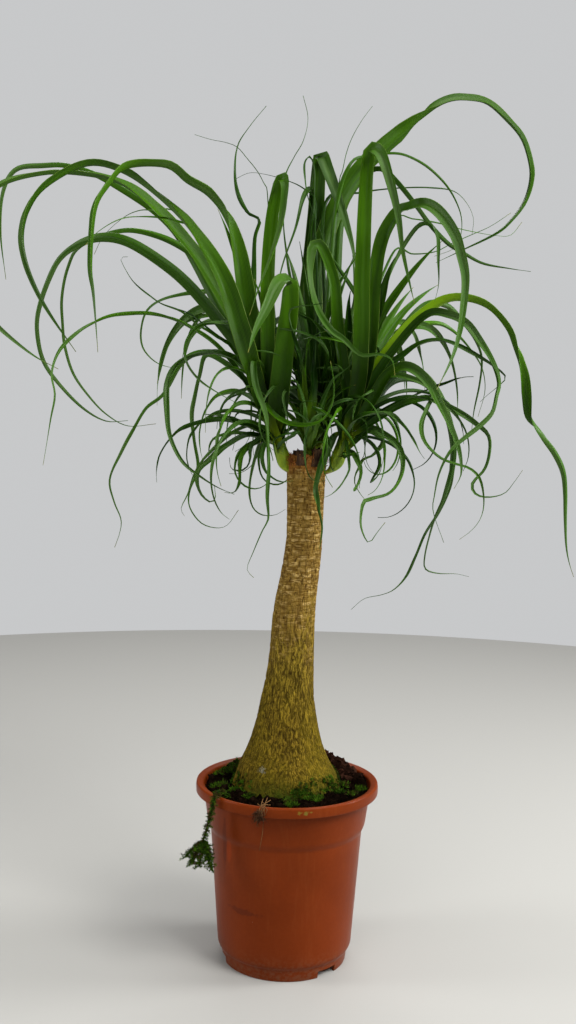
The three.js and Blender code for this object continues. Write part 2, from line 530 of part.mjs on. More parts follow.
    3, 87, 7, 88.4, 11, 89, 15, 89.1, 17.5, 88.8, 19, 87.5, 19.8, 85.8, 19.7, 84]],
  ['back', 0.4, [6, 9], [0], [-1, 80, -1.7, 86, -1.5, 90, -0.6, 92.2, 0.4, 94, 0.9, 96.5, 0.3, 99]],
  ['back', 0.35, [9, 13], [0], [
    2, 84, 2, 87.4, 0.5, 88.8, -1.3, 89.6, -3.5, 90.2, -5.5, 90.4, -7.1, 89.7]],
  ['back', 0.35, [7, 10], [0], [4, 80, 4.5, 89, 4.9, 90.8, 5.3, 92.8, 6, 94.7, 7, 96.5, 8.1, 98]],
  ['young', 1, [-1.4, -1.6], [0, 30], [1.5, 62.2, 1.1, 64.8, 0.4, 66.8, -0.7, 68]],
  ['young', 1.1, [-1, -1.2], [0], [1.9, 63.5, 2.1, 66.1, 2.2, 70.1, 2.4, 73.5]],
  ['young', 0.9, [-1, -2, -3], [0], [2.1, 60.9, 3, 64.2, 3.8, 66.2, 4.5, 67.5, 6.4, 69.1]],
  ['young', 0.8, [-1.6, -2.4], [0, 30], [0.7, 62.9, -0.2, 64.4, -1.2, 65.4]],
  ['young', 0.5, [-3, -6], [0], [1.1, 67, 1.2, 70, 1.4, 71.5, 2.4, 72.5, 3.5, 72.9]],
  ['young', 1, [-3, -8, -9], [0, 30], [
    0.3, 68, -1.2, 72, -3.2, 73, -2.7, 71.2, -1.5, 69.5, 0, 68, 1.5, 67.2, 3.2, 67.1, 4.4, 67.3]],
  ['young', 0.6, [-4, -7], [0], [0.5, 70, -0.8, 74.6, 0.4, 75.6, 2, 75.8, 4, 76.3]],
];

// Grown leaves, by rule: [shoot, count, seed, compass range, rise range, length range, width range,
// droop range]. The compass is 0 to the right and 90 to the back, in degrees; lengths in centimetres.
const GROWN = [
  ['left', 3, 11, [120, 240], [76, 86], [18, 26], [1.1, 1.6], [20, 50]],
  ['left', 5, 12, [110, 260], [35, 60], [15, 23], [0.5, 0.8], [120, 210]],
  ['left', 4, 13, [100, 140], [74, 84], [36, 43], [1.1, 1.5], [145, 170]],
  ['right', 3, 21, [-60, 60], [76, 86], [18, 26], [1.1, 1.6], [20, 50]],
  ['right', 5, 22, [-80, 70], [35, 60], [15, 23], [0.5, 0.8], [120, 210]],
  ['right', 4, 23, [40, 75], [74, 84], [36, 43], [1.1, 1.5], [145, 170]],
  ['back', 6, 31, [70, 110], [77, 85], [35, 41], [1.3, 1.8], [150, 172]],
  ['back', 4, 32, [40, 140], [40, 62], [20, 28], [0.7, 1.1], [110, 160]],
  ['back', 4, 33, [60, 300], [78, 87], [16, 26], [1.1, 1.5], [15, 40]],
  ['young', 3, 41, [-170, -10], [62, 84], [9, 15], [0.5, 0.8], [20, 60]],
];
const GROWTH_STEPS = 14;
const CURL = 0.9;
const DROOP_POWER = 1.5;
const GROWN_TURN = 60;

// How high on the stem roots may start, the share of a leaf over which a bend sets in, and the point
// that joins a root to an outline that starts far from it, as shares of the way in x, y and z
const DRAWN_ROOTS = 0.8;
const GROWN_ROOTS = 0.9;
const SETTLED = 0.2;
const FAR_START = 80;
const FAR_SHARES = [0.38, 0.42, 0.52];

// A point of a drawn leaf, moved to its depth along the line to the eye
function placed(x, height, depth) {
  const flat = new THREE.Vector3(x * CM, 0, height * CM);
  return flat.sub(EYE).multiplyScalar((depth * CM - EYE.y) / -EYE.y).add(EYE);
}

// Where a leaf leaves its shoot's stem: off the middle, on the side that it heads for
function leafRoot(shoot, share, heading) {
  const { stem } = SHOOTS[shoot];
  const low = stem[stem.length - 3];
  const high = stem[stem.length - 1];
  const [x, y, z, radius] = low.map((value, axis) => mix(value, high[axis], share) * CM);
  const shift = ROOT_SHIFT * radius;
  return new THREE.Vector3(x + shift * Math.cos(heading), y + shift * Math.sin(heading), z);
}

function smoothCurve(points) {
  return new THREE.CatmullRomCurve3(points, false, 'catmullrom', 0.5);
}

// The leaf's middle line; a bend moves all but its root nearer to the eye or farther off
function drawnLine([shoot, , depths, , outline], order, bend) {
  const axis = leafRoot(shoot, 0, 0);
  const aim = placed(outline[0], outline[1], depths[0]).sub(axis);
  const root = leafRoot(shoot, draw(order, 1) * DRAWN_ROOTS, Math.atan2(aim.y, aim.x));
  const points = [];
  for (let i = 0; i < outline.length; i += 2) {
    const t = (i / 2 + 1) / (outline.length / 2);
    const depth = along([root.y / CM, ...depths], t) + (bend / CM) * smoothRamp(0, SETTLED, t);
    points.push(placed(outline[i], outline[i + 1], depth));
  }
  const first = points[0];
  if (first.distanceTo(root) > FAR_START) {
    const [x, y, z] = FAR_SHARES;
    points.unshift(
      new THREE.Vector3(mix(root.x, first.x, x), mix(root.y, first.y, y), mix(root.z, first.z, z)));
  }
  return [root, ...points];
}

function grownLine(row, order, bend) {
  const [shoot, , seed, compass, rise, length, , droop] = row;
  const pick = (range, index) => mix(range[0], range[1], draw(seed * 100 + order, index));
  const heading = (pick(compass, 2) * Math.PI) / 180;
  const root = leafRoot(shoot, draw(seed * 100 + order, 1) * GROWN_ROOTS, heading);
  const lift = (pick(rise, 3) * Math.PI) / 180;
  const fall = (pick(droop, 4) * Math.PI) / 180;
  const curl = (draw(seed * 100 + order, 5) - 0.5) * CURL;
  const stride = (pick(length, 6) * CM) / GROWTH_STEPS;
  const points = [root];
  for (let i = 1; i <= GROWTH_STEPS; i += 1) {
    const t = i / GROWTH_STEPS;
    const tilt = lift - fall * t ** DROOP_POWER;
    const way = heading + curl * t * t;
    const last = points[i - 1];
    points.push(new THREE.Vector3(
      last.x + stride * Math.cos(tilt) * Math.cos(way),
      last.y + stride * Math.cos(tilt) * Math.sin(way) + (bend / GROWTH_STEPS) * ramp(0, SETTLED, t),
      last.z + stride * Math.sin(tilt),
    ));
  }
  return points;
}

// Width along the leaf, from its sheath to its long thin tip
function bladeWidth(width, t) {
  const sheath = mix(SHEATH_SHARE, 1, smoothRamp(0, SHEATH_LENGTH, t));
  return Math.max(TIP_WIDTH, width * CM * sheath * (1 - t ** TAPER));
}

// A blade along a line: its steps are shorter where the line turns more
function blade(line, width, turns, spare) {
  const curve = smoothCurve(line);
  const samples = curve.getPoints(FINE_STEPS);
  const effort = [0];
  const travelled = [0];
  for (let i = 1; i <= FINE_STEPS; i += 1) {
    const step = samples[i].clone().sub(samples[i - 1]);
    const before = i > 1 ? samples[i - 1].clone().sub(samples[i - 2]) : step;
    const turned = (step.angleTo(before) * 180) / Math.PI;
    effort.push(effort[i - 1] + step.length() / SEGMENT_LENGTH + turned / SEGMENT_TURN);
    travelled.push(travelled[i - 1] + step.length());
  }
  const steps = Math.max(3, Math.round(effort[FINE_STEPS]));
  const chosen = Array.from({ length: steps + 1 }, (_, k) => {
    const wanted = (effort[FINE_STEPS] * k) / steps;
    return Math.max(0, effort.findIndex((value) => value >= wanted - 1e-9));
  });
  const faced = new THREE.Vector3(0, 1, line[line.length - 1].y < line[0].y ? -SKYWARD : SKYWARD);
  const { ways, sides } = crossings(samples, faced);
  const rings = chosen.map((i) => {
    const t = travelled[i] / travelled[FINE_STEPS];
    const side = sides[i].clone().applyAxisAngle(ways[i], (along(turns, t) * Math.PI) / 180);
    const up = ways[i].clone().cross(side);
    const half = bladeWidth(width, t) / 2 + spare;
    const thick = BLADE_THICK / 2 + spare;
    return [[1, 1], [-1, 1], [-1, -1], [1, -1]].map(([a, b]) => samples[i].clone()
      .addScaledVector(side, a * half)
      .addScaledVector(up, b * thick));
  });
  return toManifold(loft(rings, true));
}

function stemSolid({ stem }, spare) {
  const points = stem.map(([x, y, z]) => new THREE.Vector3(x, y, z).multiplyScalar(CM));
  const radii = stem.map(([, , , radius]) => radius * CM + spare);
  if (spare > 0) points[0].z -= spare;
  return toManifold(tube(points, radii, STEM_SIDES));
}

// Every leaf as { shoot, width, turns, line(bend) }
function listLeaves() {
  const drawn = DRAWN.map((row, order) => ({
    shoot: row[0], width: row[1], turns: row[3], line: (bend) => drawnLine(row, order, bend),
  }));
  const grown = GROWN.flatMap((row) => Array.from({ length: row[1] }, (_, order) => ({
    shoot: row[0],
    width: mix(row[6][0], row[6][1], draw(row[2] * 100 + order, 7)),
    turns: [0, GROWN_TURN * (draw(row[2] * 100 + order, 8) - 0.5)],
    line: (bend) => grownLine(row, order, bend),
  })));
  return [...drawn, ...grown];
}

// The shoots: each leaf is bent a little nearer or farther off, to where it stays clear of the trunk
// and of the other shoots and crosses least of its own
function makeShoots(trunk) {
  const shoots = {};
  for (const [name, shoot] of Object.entries(SHOOTS)) shoots[name] = stemSolid(shoot, 0);
  for (const { shoot, width, turns, line } of listLeaves()) {
    const others = Object.keys(shoots).filter((name) => name !== shoot).map((name) => shoots[name]);
    const bent = (bend, spare) => blade(line(bend), width, turns, spare);
    const rated = BENDS.filter((bend) => {
      const wide = bent(bend, GAP);
      return [trunk, ...others].every((other) => other.intersect(wide).volume() < TOUCH);
    }).map((bend) => {
      const crossed = shoots[shoot].intersect(bent(bend, 0)).volume();
      return { bend, cost: crossed + Math.abs(bend) * BEND_COST };
    });
    const best = rated.reduce((least, one) => (one.cost < least.cost ? one : least));
    shoots[shoot] = shoots[shoot].add(bent(best.bend, 0));
  }
  for (const name of Object.keys(shoots)) shoots[name] = oneBody(shoots[name]);
  return shoots;
}

// Moss strand: it comes out of the soil, lies over the rim and hangs in front of the wall, as
// [x, height, depth, radius] in centimetres, placed as the drawn leaves are
const STRAND = [
  [-6.7, 18, -5.6, 0.2], [-7.3, 19.2, -6.35, 0.22], [-7.8, 19.02, -7, 0.25],
  [-8.25, 18.65, -7.65, 0.25], [-8.5, 17.3, -7.8, 0.27], [-8.5, 15.8, -7.6, 0.3],
  [-8.9, 14.4, -7.6, 0.25], [-9.4, 13.1, -7.6, 0.2], [-9.9, 12.2, -7.6, 0.45],
  [-10.2, 11.4, -7.6, 0.6], [-9.9, 10.6, -7.6, 0.45], [-9.4, 10.2, -7.6, 0.2],
];
const STRAND_SIDES = 5;
const SPRIGS = 30;
const SPRIG_SPAN = [0.42, 0.985];
const SPRIG_REACH = [5, 11];
const SPRIG_RADII = [1.5, 0.35];
const CLUMP_SPAN = [0.6, 0.8];
const CLUMP_GROWTH = [0.6, 1.6];
const GOLDEN_TURN = 2.39996;

function makeMossStrand() {
  const points = STRAND.map(([x, height, depth]) => placed(x, height, depth));
  const radii = STRAND.map(([, , , radius]) => radius * CM);
  const curve = smoothCurve(points);
  const sprigs = Array.from({ length: SPRIGS }, (_, i) => {
    const u = mix(...SPRIG_SPAN, Math.sqrt((i + 0.5) / SPRIGS));
    const start = curve.getPoint(u);
    const turn = i * GOLDEN_TURN;
    const growth = mix(...CLUMP_GROWTH, smoothRamp(...CLUMP_SPAN, u));
    const reach = mix(...SPRIG_REACH, draw(5, i)) * growth;
    const way = new THREE.Vector3(Math.cos(turn) * 1.3, Math.sin(turn) * 0.4, -0.5).normalize();
    const end = start.clone().addScaledVector(way, reach);
    return toManifold(tube([start, end], SPRIG_RADII, 3));
  });
  return oneBody(wasm.Manifold.union([toManifold(tube(points, radii, STRAND_SIDES)), ...sprigs]));
}

// Assembly

const group = new THREE.Group();

function place(name, manifold, colour, roughness) {
  const material = new THREE.MeshStandardMaterial({ color: colour, roughness, metalness: 0 });
  const mesh = new THREE.Mesh(toGeometry(manifold), material);
  mesh.name = name;
  group.add(mesh);
}

const trunkWhole = makeTrunk();
const trunk = Object.values(SHOOTS).reduce(
  (solid, shoot) => solid.subtract(stemSolid(shoot, GAP)), trunkWhole);
place('pot', makePot(), TERRACOTTA, 0.45);
place('soil', makeSoil(), PEAT, 0.95);
place('trunk', trunk, BARK, 0.85);
for (const [name, solid] of Object.entries(makeShoots(trunk))) {
  place(`shoot_${name}`, solid, SHOOTS[name].colour, 0.5);
}
place('moss_strand', makeMossStrand(), MOSS, 0.9);

export default group;
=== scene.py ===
# A potted ponytail palm: the finished looks, built round its fixed model.
# Metres. +X right, +Y away from the front, +Z up. The origin is on the floor, on the pot's axis.
import math

import bmesh
import bpy
import numpy as np
from mathutils import Matrix, Vector
from mathutils.bvhtree import BVHTree
from mathutils.noise import noise


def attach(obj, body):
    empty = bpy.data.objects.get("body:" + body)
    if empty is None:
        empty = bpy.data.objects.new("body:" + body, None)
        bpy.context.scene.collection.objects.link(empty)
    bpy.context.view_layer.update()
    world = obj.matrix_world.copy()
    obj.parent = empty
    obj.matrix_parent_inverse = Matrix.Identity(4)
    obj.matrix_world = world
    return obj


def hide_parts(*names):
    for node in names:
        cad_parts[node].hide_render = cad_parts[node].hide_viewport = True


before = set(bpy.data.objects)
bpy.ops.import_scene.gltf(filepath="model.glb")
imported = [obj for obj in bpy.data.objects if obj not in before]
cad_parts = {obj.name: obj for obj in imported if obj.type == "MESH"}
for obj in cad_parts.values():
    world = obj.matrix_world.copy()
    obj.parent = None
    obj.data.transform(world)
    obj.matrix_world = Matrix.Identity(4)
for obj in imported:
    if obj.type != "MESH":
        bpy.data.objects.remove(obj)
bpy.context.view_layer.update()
scene = bpy.context.scene

MM = 0.001
CM = 0.01
GOLDEN_TURN = 2.39996

# Numbers that look random and are always the same, ramps from 0 to 1, noise, turns and curves

DRAW_FACTORS = (12.9898, 78.233, 43758.5453)


def draw(seed, index):
    value = math.sin(seed * DRAW_FACTORS[0] + index * DRAW_FACTORS[1]) * DRAW_FACTORS[2]
    return value - math.floor(value)


def mix(a, b, t):
    return a + (b - a) * t


def ramp(a, b, value):
    return np.clip((value - a) / (b - a), 0, 1)


def smooth_ramp(a, b, value):
    t = ramp(a, b, value)
    return t * t * (3 - 2 * t)


def along(values, t):
    place = np.asarray(t) * (len(values) - 1)
    return np.interp(place, np.arange(len(values)), values)


def rough(x, y, z):
    """Smooth noise at a place, about -1 to 1"""
    return noise(Vector((x, y, z)))


def rough_at(point, scales):
    """The same noise at a point, at a scale for each axis"""
    return rough(*(part * scale for part, scale in zip(point, scales)))


def turns_round(sides):
    """Even turns round a body, in radians"""
    return np.linspace(0, 2 * math.pi, sides, endpoint=False)


def round_point(radius, turn, height=0.0, x=0.0, y=0.0):
    """A point at a turn round an upright line"""
    return (x + radius * math.cos(turn), y + radius * math.sin(turn), height)


def smooth_curve(points, count):
    """Points on the smooth curve through points, evenly spread between each two"""
    points = np.asarray(points, float)
    whole = np.vstack([2 * points[0] - points[1], points, 2 * points[-1] - points[-2]])
    place = np.linspace(0, len(points) - 1, count + 1)
    index = np.minimum(place.astype(int), len(points) - 2)
    t = (place - index)[:, None]
    a, b, c, d = (whole[index + step] for step in range(4))
    bend = (2 * a - 5 * b + 4 * c - d) * t ** 2
    twist = (3 * b - a - 3 * c + d) * t ** 3
    return b + 0.5 * ((c - a) * t + bend + twist)


# Meshes and pieces


def mesh_of(name, points, faces, smooth=True):
    mesh = bpy.data.meshes.new(name)
    mesh.from_pydata([tuple(point) for point in points], [], faces)
    mesh.polygons.foreach_set("use_smooth", [smooth] * len(mesh.polygons))
    mesh.update()
    return mesh


def set_values(mesh, **values):
    """A value or vector for each vertex of a mesh, which its material or its tree reads by name"""
    for name, numbers in values.items():
        numbers = np.asarray(numbers, np.float32)
        kind, field = ("FLOAT_VECTOR", "vector") if numbers.ndim == 2 else ("FLOAT", "value")
        mesh.attributes.new(name, kind, "POINT").data.foreach_set(field, numbers.ravel())


def built(name, build):
    """The mesh that a build has made"""
    mesh = bpy.data.meshes.new(name)
    build.to_mesh(mesh)
    build.free()
    return mesh


def in_scene(name, data):
    made = bpy.data.objects.new(name, data)
    scene.collection.objects.link(made)
    return made


def piece(name, mesh, material, nodes=()):
    """A finished piece that rides on the plant and stands for the nodes that it replaces"""
    made = in_scene(name, mesh)
    mesh.materials.clear()
    mesh.materials.append(material)
    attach(made, "root")
    if nodes:
        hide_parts(*nodes)


def ring_mesh(name, rings):
    """A closed body through rings of points that run anticlockwise round the way ahead"""
    rings = np.asarray(rings, float)
    steps, count = rings.shape[:2]
    faces = []
    for low in range(0, (steps - 1) * count, count):
        for j in range(count):
            after = (j + 1) % count
            faces.append((low + j, low + after, low + count + after, low + count + j))
    faces.append(tuple(range(count - 1, -1, -1)))
    faces.append(tuple((steps - 1) * count + j for j in range(count)))
    return mesh_of(name, rings.reshape(-1, 3), faces)


# Node trees


def linear(red, green, blue):
    """A colour given by its screen values from 0 to 255, as the shader takes it"""
    parts = [value / 255 for value in (red, green, blue)]
    made = [part / 12.92 if part <= 0.04045 else ((part + 0.055) / 1.055) ** 2.4 for part in parts]
    return (*made, 1.0)


class Tree:
    """A node tree, with short calls for the nodes in it that return their sockets"""

    def __init__(self, nodes):
        self.nodes = nodes

    def put(self, socket, value):
        """Links a socket to another, or sets its value, or leaves it as it is"""
        if isinstance(value, bpy.types.NodeSocket):
            self.nodes.links.new(value, socket)
        elif value is not None:
            socket.default_value = value

    def add(self, kind, inputs=None, **settings):
        """A node of a kind with its settings, and its inputs linked or set by name or number"""
        node = self.nodes.nodes.new(kind)
        for label, value in settings.items():
            setattr(node, label, value)
        for key, value in (inputs or {}).items():
            self.put(node.inputs[key], value)
        return node

    def out(self, kind, inputs=None, output=0, **settings):
        return self.add(kind, inputs, **settings).outputs[output]

    def maths(self, operation, *values, clamp=False):
        return self.out("ShaderNodeMath", dict(enumerate(values)), operation=operation, use_clamp=clamp)

    def times(self, first, *factors):
        for factor in factors:
            first = self.maths("MULTIPLY", first, factor)
        return first

    def plus(self, a, b):
        return self.maths("ADD", a, b)

    def minus(self, a, b):
        return self.maths("SUBTRACT", a, b)

    def vectors(self, operation, *values):
        output = "Value" if operation == "LENGTH" else "Vector"
        return self.out("ShaderNodeVectorMath", dict(enumerate(values)), output, operation=operation)

    def scaled(self, vector, factor):
        return self.out("ShaderNodeVectorMath", {0: vector, "Scale": factor}, operation="SCALE")

    def combined(self, x, y, z):
        return self.out("ShaderNodeCombineXYZ", {0: x, 1: y, 2: z})

    def split(self, vector):
        return self.add("ShaderNodeSeparateXYZ", {0: vector}).outputs

    def ranged(self, value, low, high, to_low=0.0, to_high=1.0, smooth=True):
        """A value mapped from one range to another, held at its ends"""
        kind = "SMOOTHSTEP" if smooth else "LINEAR"
        sockets = {"Value": value, "From Min": low, "From Max": high, "To Min": to_low, "To Max": to_high}
        return self.out("ShaderNodeMapRange", sockets, "Result", interpolation_type=kind)

    def noise(self, place, scale, detail, output=0):
        sockets = {"Vector": place, "Scale": scale, "Detail": detail}
        return self.out("ShaderNodeTexNoise", sockets, output)

    def blended(self, share, *colours):
        """A colour between two, each a socket or three screen values"""
        node = self.add("ShaderNodeMix", {0: share}, data_type="RGBA")
        for key, colour in zip((6, 7), colours):
            self.put(node.inputs[key], linear(*colour) if isinstance(colour, tuple) else colour)
        return node.outputs[2]

    def coated(self, colour, *coats):
        """A colour with others laid over it: each coat has its mask, its tint and maybe its strength"""
        for mask, tint, *strength in coats:
            colour = self.blended(self.times(mask, *strength), colour, tint)
        return colour

    def place(self):
        return self.out("ShaderNodeTexCoord", output="Object")

    def height(self):
        return self.split(self.place())["Z"]

    def read(self, name):
        """A named value of the mesh, in a material"""
        return self.out("ShaderNodeAttribute", output="Fac", attribute_name=name)

    def value(self, name, kind="FLOAT"):
        """A named value of the mesh, in a tree of geometry nodes"""
        return self.out("GeometryNodeInputNamedAttribute", {"Name": name}, "Attribute", data_type=kind)

    def stored(self, geometry, name, value, domain="POINT"):
        sockets = {"Geometry": geometry, "Name": name, "Value": value}
        return self.out("GeometryNodeStoreNamedAttribute", sockets, data_type="FLOAT", domain=domain)

    def random(self, low, high, seed):
        return self.out("FunctionNodeRandomValue", {2: low, 3: high, 8: seed}, 1, data_type="FLOAT")

    def group(self, nodes, **values):
        """A shader group placed in a material with its own values"""
        node = self.add("ShaderNodeGroup", node_tree=nodes)
        for label, value in values.items():
            self.put(node.inputs[label.replace("_", " ").capitalize()], value)
        return node.outputs

    def tone(self, scale, speck_scale, speck_share, stretch=(1, 1, 1)):
        values = {"scale": scale, "speck_scale": speck_scale, "speck_share": speck_share}
        return self.group(MOTTLE, stretch=stretch, **values)

    def mark(self, place, reach, ragged, scale):
        return self.group(MARK, place=place, reach=reach, ragged=ragged, scale=scale)["Mask"]

    def relief(self, scale, depth, strength, stretch=(1, 1, 1), height=0.0):
        values = {"scale": scale, "depth": depth, "strength": strength, "height": height}
        return self.group(RELIEF, stretch=stretch, **values)["Normal"]

    def done(self, **results):
        """Puts out a group's results"""
        for label, value in results.items():
            self.put(self.made[label], value)
        return self.nodes

    def finished(self, geometry):
        """Puts out the plain geometry of a tree with its finish"""
        real = self.out("GeometryNodeRealizeInstances", {"Geometry": geometry})
        sockets = {"Geometry": real, "Material": self.given["Finish"]}
        return self.done(Geometry=self.out("GeometryNodeSetMaterial", sockets))


class Finish(Tree):
    """A material's tree, whose shader takes its plain numbers first, then its colour and normal"""

    def __init__(self, name, roughness, specular, subsurface=0.0):
        self.material = bpy.data.materials.new(name)
        self.material.use_nodes = True
        super().__init__(self.material.node_tree)
        self.shader = self.nodes.nodes["Principled BSDF"].inputs
        self.set(Roughness=roughness, Specular_IOR_Level=specular, Subsurface_Weight=subsurface)

    def set(self, **values):
        for label, value in values.items():
            self.put(self.shader[label.replace("_", " ")], value)
        return self.material


SOCKET_KINDS = {float: "Float", int: "Int", tuple: "Vector"}


def new_tree(name, kind, inputs, outputs):
    """A group with named inputs, each given by its value or by its type, and outputs given by type"""
    tree = Tree(bpy.data.node_groups.new(name, kind))
    for label, value in inputs.items():
        socket_type = value if isinstance(value, str) else SOCKET_KINDS[type(value)]
        socket = tree.nodes.interface.new_socket(
            label, in_out="INPUT", socket_type=f"NodeSocket{socket_type}")
        if not isinstance(value, str):
            socket.default_value = value
    for label, socket_type in outputs.items():
        tree.nodes.interface.new_socket(label, in_out="OUTPUT", socket_type=f"NodeSocket{socket_type}")
    tree.given = tree.add("NodeGroupInput").outputs
    tree.made = tree.add("NodeGroupOutput").inputs
    return tree


def shown(name, mesh, nodes, **values):
    """The plain mesh that a tree of geometry nodes makes out of a source mesh"""
    source = in_scene(f"{name}_source", mesh)
    modifier = source.modifiers.new("nodes", "NODES")
    modifier.node_group = nodes
    for item in nodes.interface.items_tree:
        label = item.name.replace(" ", "_").lower()
        if item.item_type == "SOCKET" and item.in_out == "INPUT" and label in values:
            modifier[item.identifier] = values[label]
    graph = bpy.context.evaluated_depsgraph_get()
    evaluated = source.evaluated_get(graph)
    made = bpy.data.meshes.new_from_object(evaluated, preserve_all_data_layers=True, depsgraph=graph)
    made.name = name
    source.modifiers.remove(modifier)
    bpy.data.objects.remove(source)
    return made


def strewn(name, surface, nodes, shape_mesh, slot, finish, replaced=(), **values):
    """A piece that a tree makes out of a surface or lines and a small shape"""
    shape = in_scene(shape_mesh.name, shape_mesh)
    mesh = shown(name, surface, nodes, shape=shape, finish=finish, **values)
    bpy.data.objects.remove(shape)
    piece(name, mesh, finish, replaced)


# Camera, floor and light

CAMERA_PLACE = Vector((-0.005, -1.294, 0.610))
CAMERA_PITCH = math.radians(3.9)
CAMERA_ROLL = math.radians(1.1)
CAMERA_LENS = 39.66
CAMERA_SENSOR = 36.0
CLIP_END = 50
FLOOR_RADIUS = 2.2
FLOOR_SIDES = 128
FLOOR_COLOUR = (166, 165, 161)
LIGHTS = [
    # name, place, height of the point aimed at, width, height, watts
    ("key", (1.3, -1.3, 2.1), 0.5, 1.0, 1.0, 54),
    ("right", (1.8, 0.1, 1.0), 0.35, 0.6, 1.1, 31),
    ("left", (-1.8, -0.2, 1.05), 0.35, 0.5, 1.1, 17),
    ("front", (-0.9, -2.2, 1.2), 0.4, 1.2, 1.2, 13),
    ("back", (0.2, 1.8, 2.2), 0.6, 1.8, 0.9, 24),
]
KEY_COLOUR = (1.0, 0.99, 0.97)
SUN_PLACE = (0.4, -0.4, 2.4)
SUN_ANGLE = math.radians(40)
SUN_STRENGTH = 1.4
WORLD_COLOUR = (0.82, 0.83, 0.84, 1.0)
WORLD_STRENGTH = 0.12
SEEN_STRENGTH = 0.70


def make_camera():
    data = bpy.data.cameras.new("camera")
    data.lens = CAMERA_LENS
    data.sensor_width = CAMERA_SENSOR
    data.sensor_fit = "AUTO"
    data.clip_end = CLIP_END
    camera = in_scene("camera", data)
    turned = Matrix.Rotation(math.pi / 2 - CAMERA_PITCH, 4, "X") @ Matrix.Rotation(CAMERA_ROLL, 4, "Z")
    camera.matrix_world = Matrix.Translation(CAMERA_PLACE) @ turned
    scene.camera = camera


def make_floor():
    points = [round_point(FLOOR_RADIUS, turn) for turn in turns_round(FLOOR_SIDES)]
    floor = in_scene("floor", mesh_of("floor", points, [tuple(range(FLOOR_SIDES))]))
    floor.data.materials.append(Finish("studio floor", 0.7, 0.2).set(Base_Color=linear(*FLOOR_COLOUR)))


def make_lights():
    for name, place, aim, width, height, watts in LIGHTS:
        data = bpy.data.lights.new(name, "AREA")
        data.shape = "RECTANGLE"
        data.size = width
        data.size_y = height
        data.energy = watts
        light = in_scene(name, data)
        light.location = place
        away = Vector((0.0, 0.0, aim)) - Vector(place)
        light.rotation_euler = away.to_track_quat("-Z", "Y").to_euler()
    bpy.data.lights["key"].color = KEY_COLOUR
    sun = in_scene("sun", bpy.data.lights.new("sun", "SUN"))
    sun.data.energy = SUN_STRENGTH
    sun.data.angle = SUN_ANGLE
    sun.rotation_euler = Vector(SUN_PLACE).to_track_quat("Z", "Y").to_euler()
    world = bpy.data.worlds.new("studio")
    world.use_nodes = True
    tree = Tree(world.node_tree)
    seen = tree.out("ShaderNodeLightPath", output="Is Camera Ray")
    background = world.node_tree.nodes["Background"].inputs
    tree.put(background["Color"], WORLD_COLOUR)
    tree.put(background["Strength"], tree.ranged(seen, 0, 1, WORLD_STRENGTH, SEEN_STRENGTH))
    scene.world = world
    scene.view_settings.view_transform = "Standard"


# Shader groups that several materials share


def mottle_group():
    """Uneven tone: a value that wanders over the surface, with finer specks in it"""
    inputs = {"Stretch": (1, 1, 1), "Scale": 30.0, "Speck scale": 300.0, "Speck share": 0.3}
    tree = new_tree("uneven tone", "ShaderNodeTree", inputs, {"Value": "Float", "Specks": "Float"})
    place = tree.vectors("MULTIPLY", tree.place(), tree.given["Stretch"])
    wide = tree.ranged(tree.noise(place, tree.given["Scale"], 4.0), 0.3, 0.7)
    specks = tree.ranged(tree.noise(place, tree.given["Speck scale"], 2.0), 0.35, 0.7)
    sockets = {0: tree.given["Speck share"], 2: wide, 3: specks}
    return tree.done(Value=tree.out("ShaderNodeMix", sockets, data_type="FLOAT"), Specks=specks)


def relief_group():
    """A fine uneven surface: it bends the normal by noise of a given scale, stretch and depth"""
    inputs = {"Stretch": (1, 1, 1), "Scale": 400.0, "Depth": 0.0002, "Strength": 0.5, "Height": 0.0}
    tree = new_tree("fine relief", "ShaderNodeTree", inputs, {"Normal": "Vector"})
    place = tree.vectors("MULTIPLY", tree.place(), tree.given["Stretch"])
    height = tree.plus(tree.noise(place, tree.given["Scale"], 3.0), tree.given["Height"])
    sockets = {"Height": height, "Distance": tree.given["Depth"], "Strength": tree.given["Strength"]}
    return tree.done(Normal=tree.out("ShaderNodeBump", sockets, "Normal"))


def mark_group():
    """A soft mark with a broken edge: 1 at its place, 0 outside its reach"""
    inputs = {"Place": (0, 0, 0), "Reach": (0.01, 0.01, 0.01), "Ragged": 0.5, "Scale": 200.0}
    tree = new_tree("mark", "ShaderNodeTree", inputs, {"Mask": "Float"})
    place = tree.place()
    away = tree.vectors("DIVIDE", tree.vectors("SUBTRACT", place, tree.given["Place"]), tree.given["Reach"])
    broken = tree.noise(place, tree.given["Scale"], 3.0)
    shift = tree.times(tree.minus(broken, 0.5), tree.given["Ragged"])
    return tree.done(Mask=tree.ranged(tree.plus(tree.vectors("LENGTH", away), shift), 1.0, 0.6))


MOTTLE = mottle_group()
RELIEF = relief_group()
MARK = mark_group()

# Pot: a moulded plastic shell with a rolled rim, a collar, a foot ring with notches and drain holes

POT_HEIGHT = 210 * MM
RIM_RADIUS = 106 * MM
RIM_HEIGHT = 12.5 * MM
RIM_WIDTH = 7.5 * MM
RIM_SLOPE = 3 * MM
WALL = 1.8 * MM
FOOT_RADIUS = 72 * MM
FOOT_WIDTH = 3 * MM
CORNER_HEIGHT = 19 * MM
CORNER_RADIUS = 79 * MM
STEP_HEIGHT = 154 * MM
STEP_RADIUS = 88 * MM
COLLAR_HEIGHT = 161 * MM
COLLAR_RADIUS = 91.5 * MM
BASE_UNDERSIDE = 9 * MM
BASE_TOP = 11 * MM
NOTCH_HEIGHT = 8 * MM
NOTCH_DEPTH = 12 * MM
NOTCH_MIDDLES = (42.5, 162.5, 282.5)
NOTCH_SPAN = 21
DRAIN_RADIUS = 5 * MM
DRAIN_DEPTH = 8 * MM
DRAIN_RING = 46 * MM
DRAIN_COUNT = 6
